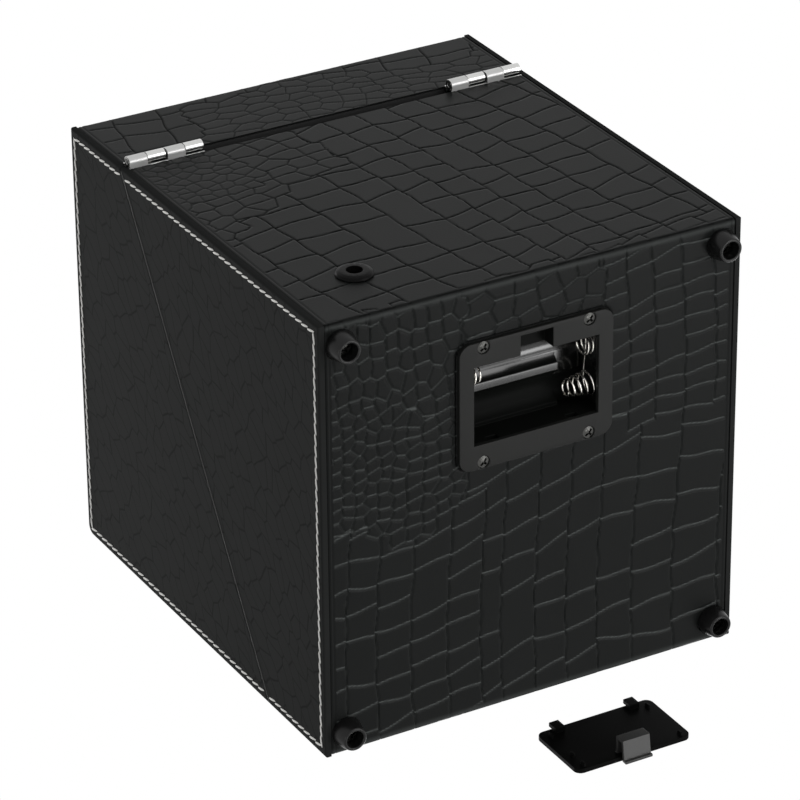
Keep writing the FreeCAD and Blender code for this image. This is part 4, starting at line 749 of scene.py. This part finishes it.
jack_plastic = surface("jack_plastic", (0.005, 0.005, 0.005), 0.30, 900, 0.01 * MM, shine=0.05)
softened("dc_jack_body", 0.18, jack_plastic, "base", "jack_plastic", "dc_socket", angle=24)

# Hinges: two small butt hinges of plated steel, with leaves rolled round blackened pins. Each leaf is
# screwed to the seam, down into the base or up into the lid.

chrome = surface("hinge_chrome", (0.6, 0.6, 0.59), 0.2, 700, 0.001 * MM, metallic=1.0, mottle=0.04)
# Painted light: the base leaves wear a paler, partly unmetallic copy of the chrome, lighter than the plating
# of the lid leaves.
painted_light_chrome = surface("hinge_chrome_painted_light", (0.66, 0.66, 0.65), 0.3, 700, 0.001 * MM, metallic=0.4, mottle=0.04)
leaf_low, leaf_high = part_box("hinge_base_leaves")
at_corner, end_on = 0.05 * MM, 0.45


def under_knuckle(at):
    return at.y > leaf_high.y - at_corner and at.z < leaf_low.z + at_corner


for leaves in (softened("hinge_base_leaves", 0.2, painted_light_chrome, "base", "chrome", "hinge_leaves_base",
                        bend=2.0, bent=under_knuckle),
               softened("hinge_lid_leaves", 0.2, chrome, "lid", "chrome", "hinge_leaves_lid")):
    # Painted shade: the end faces of the leaves, where the knuckles meet in their narrow gaps, wear
    # blackened steel.
    leaves.data.materials.append(blackened)
    for face in leaves.data.polygons:
        face.material_index = abs(face.normal.x) > end_on
wear(chrome, "hinge_base_screws", "hinge_lid_screws")
wear(blackened, "hinge_pins")

# Deck and linings: the sloping deck is a board covered in smooth black leather and laid on battens. The
# walls of the base and the lid are lined with suede cloth, glued on.

deck_leather = surface("deck_leather", (0.014, 0.014, 0.014), 0.45, 1400, 0.03 * MM)
wear(deck_leather, "deck")
suede = surface("lining_suede", (0.016, 0.016, 0.017), 0.9, 2400, 0.10 * MM, mottle=0.3)
suede.node_tree.nodes["Principled BSDF"].inputs["Sheen Weight"].default_value = 0.35
wear(suede, "base_liner", "lid_lining")

# Turntable: a flocked cup screwed to the end of its shaft. In it lies a loose cushion of suede cloth over
# soft stuffing, which takes the watch and lifts out.

flock = surface("cup_flock", (0.013, 0.013, 0.013), 0.85, 2600, 0.06 * MM)
flock.node_tree.nodes["Principled BSDF"].inputs["Sheen Weight"].default_value = 0.25
softened("turntable_cup", 0.5, flock, "turntable", "cup_fabric", "cup_dressed")
wear(blackened, "hub_screw", "frame_screws", "pillar_screws", "motor_screws")
cushion_cloth = surface("cushion_suede", (0.020, 0.020, 0.021), 0.9, 2200, 0.12 * MM, mottle=0.3)
cushion_cloth.node_tree.nodes["Principled BSDF"].inputs["Sheen Weight"].default_value = 0.4


def stuffed(bm, net, pressure, reach):
    """An even net over a shape, blown out like cloth over its stuffing; no point moves past a reach."""
    moments = 20
    mesh = bpy.data.meshes.new("stuffing")
    bm.to_mesh(mesh)
    bm.free()
    form = bpy.data.objects.new("stuffing", mesh)
    bpy.context.scene.collection.objects.link(form)
    even = form.modifiers.new("even", "REMESH")
    even.mode, even.voxel_size = "VOXEL", net
    form.data = bpy.data.meshes.new_from_object(form.evaluated_get(bpy.context.evaluated_depsgraph_get()))
    form.modifiers.clear()
    bm = bmesh.new()
    bm.from_mesh(form.data)
    cloth = form.modifiers.new("cloth", "CLOTH")
    cloth.settings.use_pressure = True
    cloth.settings.uniform_pressure_force = pressure
    cloth.settings.effector_weights.gravity = 0
    for moment in range(1, moments + 1):
        bpy.context.scene.frame_set(moment)
    swollen = bpy.data.meshes.new_from_object(form.evaluated_get(bpy.context.evaluated_depsgraph_get()))
    for vert, blown in zip(bm.verts, swollen.vertices):
        move = blown.co - vert.co
        vert.co += move * min(1, reach / max(move.length, 1e-9))
    bpy.context.scene.frame_set(1)
    bpy.data.objects.remove(form)
    return bm


bm = bmesh.new()
bm.from_mesh(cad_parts["watch_cushion"].data)
bmesh.ops.remove_doubles(bm, verts=bm.verts, dist=same_point)
middle = sum(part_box("watch_cushion"), Vector()) / 2
shrink, net_size, stuffing_pressure, most_swell = 0.95, 4.5 * MM, 4, 5 * MM
bmesh.ops.scale(bm, vec=(shrink, shrink, shrink), space=Matrix.Translation(-middle), verts=bm.verts)
cushion = settle(stuffed(bm, net_size, stuffing_pressure, most_swell), "stuffed_cushion", cushion_cloth,
                 "cushion", "cushion_fabric", "watch_cushion")
finer = cushion.modifiers.new("finer", "SUBSURF")
finer.levels = finer.render_levels = 1

# Drive under the deck: moulded gears on steel shafts in brass bushes, held between two frame plates, and
# a motor with a brass pinion. Beside it are the control board and the switch, whose knob shows on the
# deck.

frame_plastic = surface("frame_plastic", (0.035, 0.035, 0.036), 0.5, 900, 0.02 * MM)
wear(frame_plastic, "gear_frame_top", "gear_frame_bottom", "frame_spacers", "gear_pillars",
     "board_standoffs", "mode_switch")
gear_plastic = surface("gear_plastic", (0.72, 0.71, 0.66), 0.42, 800, 0.01 * MM, mottle=0.05)
wear(gear_plastic, "output_gear", "idler_gear")
brass = surface("turned_brass", (0.62, 0.46, 0.18), 0.28, 600, 0.004 * MM, metallic=1.0, mottle=0.08)
wear(brass, "output_bushes", "motor_pinion")
steel = surface("ground_steel", (0.55, 0.55, 0.55), 0.25, 900, 0.004 * MM, metallic=1.0, mottle=0.06)
wear(steel, "output_shaft", "idler_axle", "motor_shaft", "mode_shaft", "gear_motor")
solder_mask = surface("solder_mask", (0.016, 0.090, 0.035), 0.35, 500, 0.01 * MM)
wear(solder_mask, "control_board")
knob_plastic = surface("knob_plastic", (0.016, 0.016, 0.016), 0.35, 900, 0.015 * MM)
wear(knob_plastic, "mode_knob")

# Cover of the battery tray: a plate moulded in black plastic with two hooks and a sprung latch. It is
# loose, and set down beside the box.

cover_plastic = surface("cover_plastic", (0.004, 0.0042, 0.004), 0.4, 1300, 0.015 * MM, shine=0.02)
cover = softened("battery_cover", 0.22, cover_plastic, "battery_cover", "cover_plastic", "cover_moulding")
# Painted reflection: the latch faces of the same moulding wear a lighter, glossier plastic; its lighter
# colour stands in for the light that the latch's curved face reflects.
latch_painted_reflection = surface("latch_painted_reflection", (0.035, 0.035, 0.034), 0.35, 900, 0.01 * MM, shine=0.3)
cover.data.materials.append(latch_painted_reflection)
cover_low, cover_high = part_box("battery_cover")
latch_x, latch_half, latch_long = (cover_low.x + cover_high.x) / 2, 6.5 * MM, 10 * MM
for face in cover.data.polygons:
    spots = [cover.data.vertices[i].co for i in face.vertices]
    if all(abs(at.x - latch_x) < latch_half and at.z < cover_low.z + latch_long for at in spots):
        face.material_index = 1

# Studio: a pale floor that only cameras above it see, soft lamps all round and a white surround. The
# camera looks up at the back and the underside of the box.

floor_mesh = bpy.data.meshes.new("floor")
bm = bmesh.new()
bmesh.ops.create_grid(bm, x_segments=1, y_segments=1, size=4)
bm.to_mesh(floor_mesh)
bm.free()
floor = bpy.data.objects.new("floor", floor_mesh)
bpy.context.scene.collection.objects.link(floor)
floor_paint = bpy.data.materials.new("floor_paint")
floor_paint.use_nodes = True
nodes, links = floor_paint.node_tree.nodes, floor_paint.node_tree.links
nodes["Principled BSDF"].inputs["Base Color"].default_value = (0.85, 0.85, 0.85, 1)
nodes["Principled BSDF"].inputs["Roughness"].default_value = 0.9
ray, side_seen = nodes.new("ShaderNodeLightPath"), nodes.new("ShaderNodeNewGeometry")
from_above = nodes.new("ShaderNodeMath")
from_above.operation = "SUBTRACT"
links.new(ray.outputs["Is Camera Ray"], from_above.inputs[0])
links.new(side_seen.outputs["Backfacing"], from_above.inputs[1])
clear, blend = nodes.new("ShaderNodeBsdfTransparent"), nodes.new("ShaderNodeMixShader")
links.new(from_above.outputs["Value"], blend.inputs["Fac"])
links.new(clear.outputs["BSDF"], blend.inputs[1])
links.new(nodes["Principled BSDF"].outputs["BSDF"], blend.inputs[2])
links.new(blend.outputs["Shader"], nodes["Material Output"].inputs["Surface"])
floor_mesh.materials.append(floor_paint)

world = bpy.data.worlds.new("studio")
bpy.context.scene.world = world
world.use_nodes = True
nodes, links = world.node_tree.nodes, world.node_tree.links
ambient = nodes["Background"]
ambient.inputs["Color"].default_value = (1, 1, 1, 1)
ambient.inputs["Strength"].default_value = 0.35
white = nodes.new("ShaderNodeBackground")
white.inputs["Color"].default_value = (1, 1, 1, 1)
white.inputs["Strength"].default_value = 1.0
ray = nodes.new("ShaderNodeLightPath")
seen = nodes.new("ShaderNodeMath")
seen.operation = "MAXIMUM"
links.new(ray.outputs["Is Camera Ray"], seen.inputs[0])
links.new(ray.outputs["Is Transmission Ray"], seen.inputs[1])
mirrored = nodes.new("ShaderNodeMath")
mirrored.operation = "MAXIMUM"
links.new(seen.outputs["Value"], mirrored.inputs[0])
links.new(ray.outputs["Is Glossy Ray"], mirrored.inputs[1])
choose = nodes.new("ShaderNodeMixShader")
links.new(mirrored.outputs["Value"], choose.inputs["Fac"])
links.new(ambient.outputs["Background"], choose.inputs[1])
links.new(white.outputs["Background"], choose.inputs[2])
links.new(choose.outputs["Shader"], nodes["World Output"].inputs["Surface"])


def softbox(name, at, size, power):
    """A square lamp that faces the middle of the box."""
    lamp = bpy.data.lights.new(name, "AREA")
    lamp.size, lamp.energy = size, power
    holder = bpy.data.objects.new(name, lamp)
    holder.location = at
    holder.rotation_euler = (Vector((0, 0, 0.1)) - Vector(at)).to_track_quat("-Z", "Y").to_euler()
    bpy.context.scene.collection.objects.link(holder)


softbox("lamp_behind", (-0.61, 0.59, -0.95), 0.7, 4.5)
softbox("lamp_below", (-0.64, -0.28, -1.1), 0.4, 4)
softbox("lamp_right", (1.35, -0.1, -0.7), 0.6, 3.0)
softbox("lamp_above", (0.3, -0.4, 1.7), 1.4, 22)
softbox("lamp_front", (-0.8, -1.5, 0.5), 1.2, 12)

camera = bpy.data.cameras.new("camera")
camera.sensor_width = 36
camera.lens = 206.0
camera.clip_end = 20
eye = bpy.data.objects.new("camera", camera)
bpy.context.scene.collection.objects.link(eye)
stand, aim = Vector((776.62, 825.08, -1269.65)) * MM, Vector((0.40, -8.26, 107.0)) * MM
look = (aim - stand).normalized()
right = look.cross(Vector((0, 1, 0))).normalized()
top = right.cross(look)
camera_roll = -0.0094
roll = Matrix.Rotation(camera_roll, 3, look)
axes = Matrix((roll.transposed() @ right, roll.transposed() @ top, -look)).transposed()
eye.matrix_world = Matrix.Translation(stand) @ axes.to_4x4()
bpy.context.scene.camera = eye
bpy.context.scene.view_settings.view_transform = "Standard"
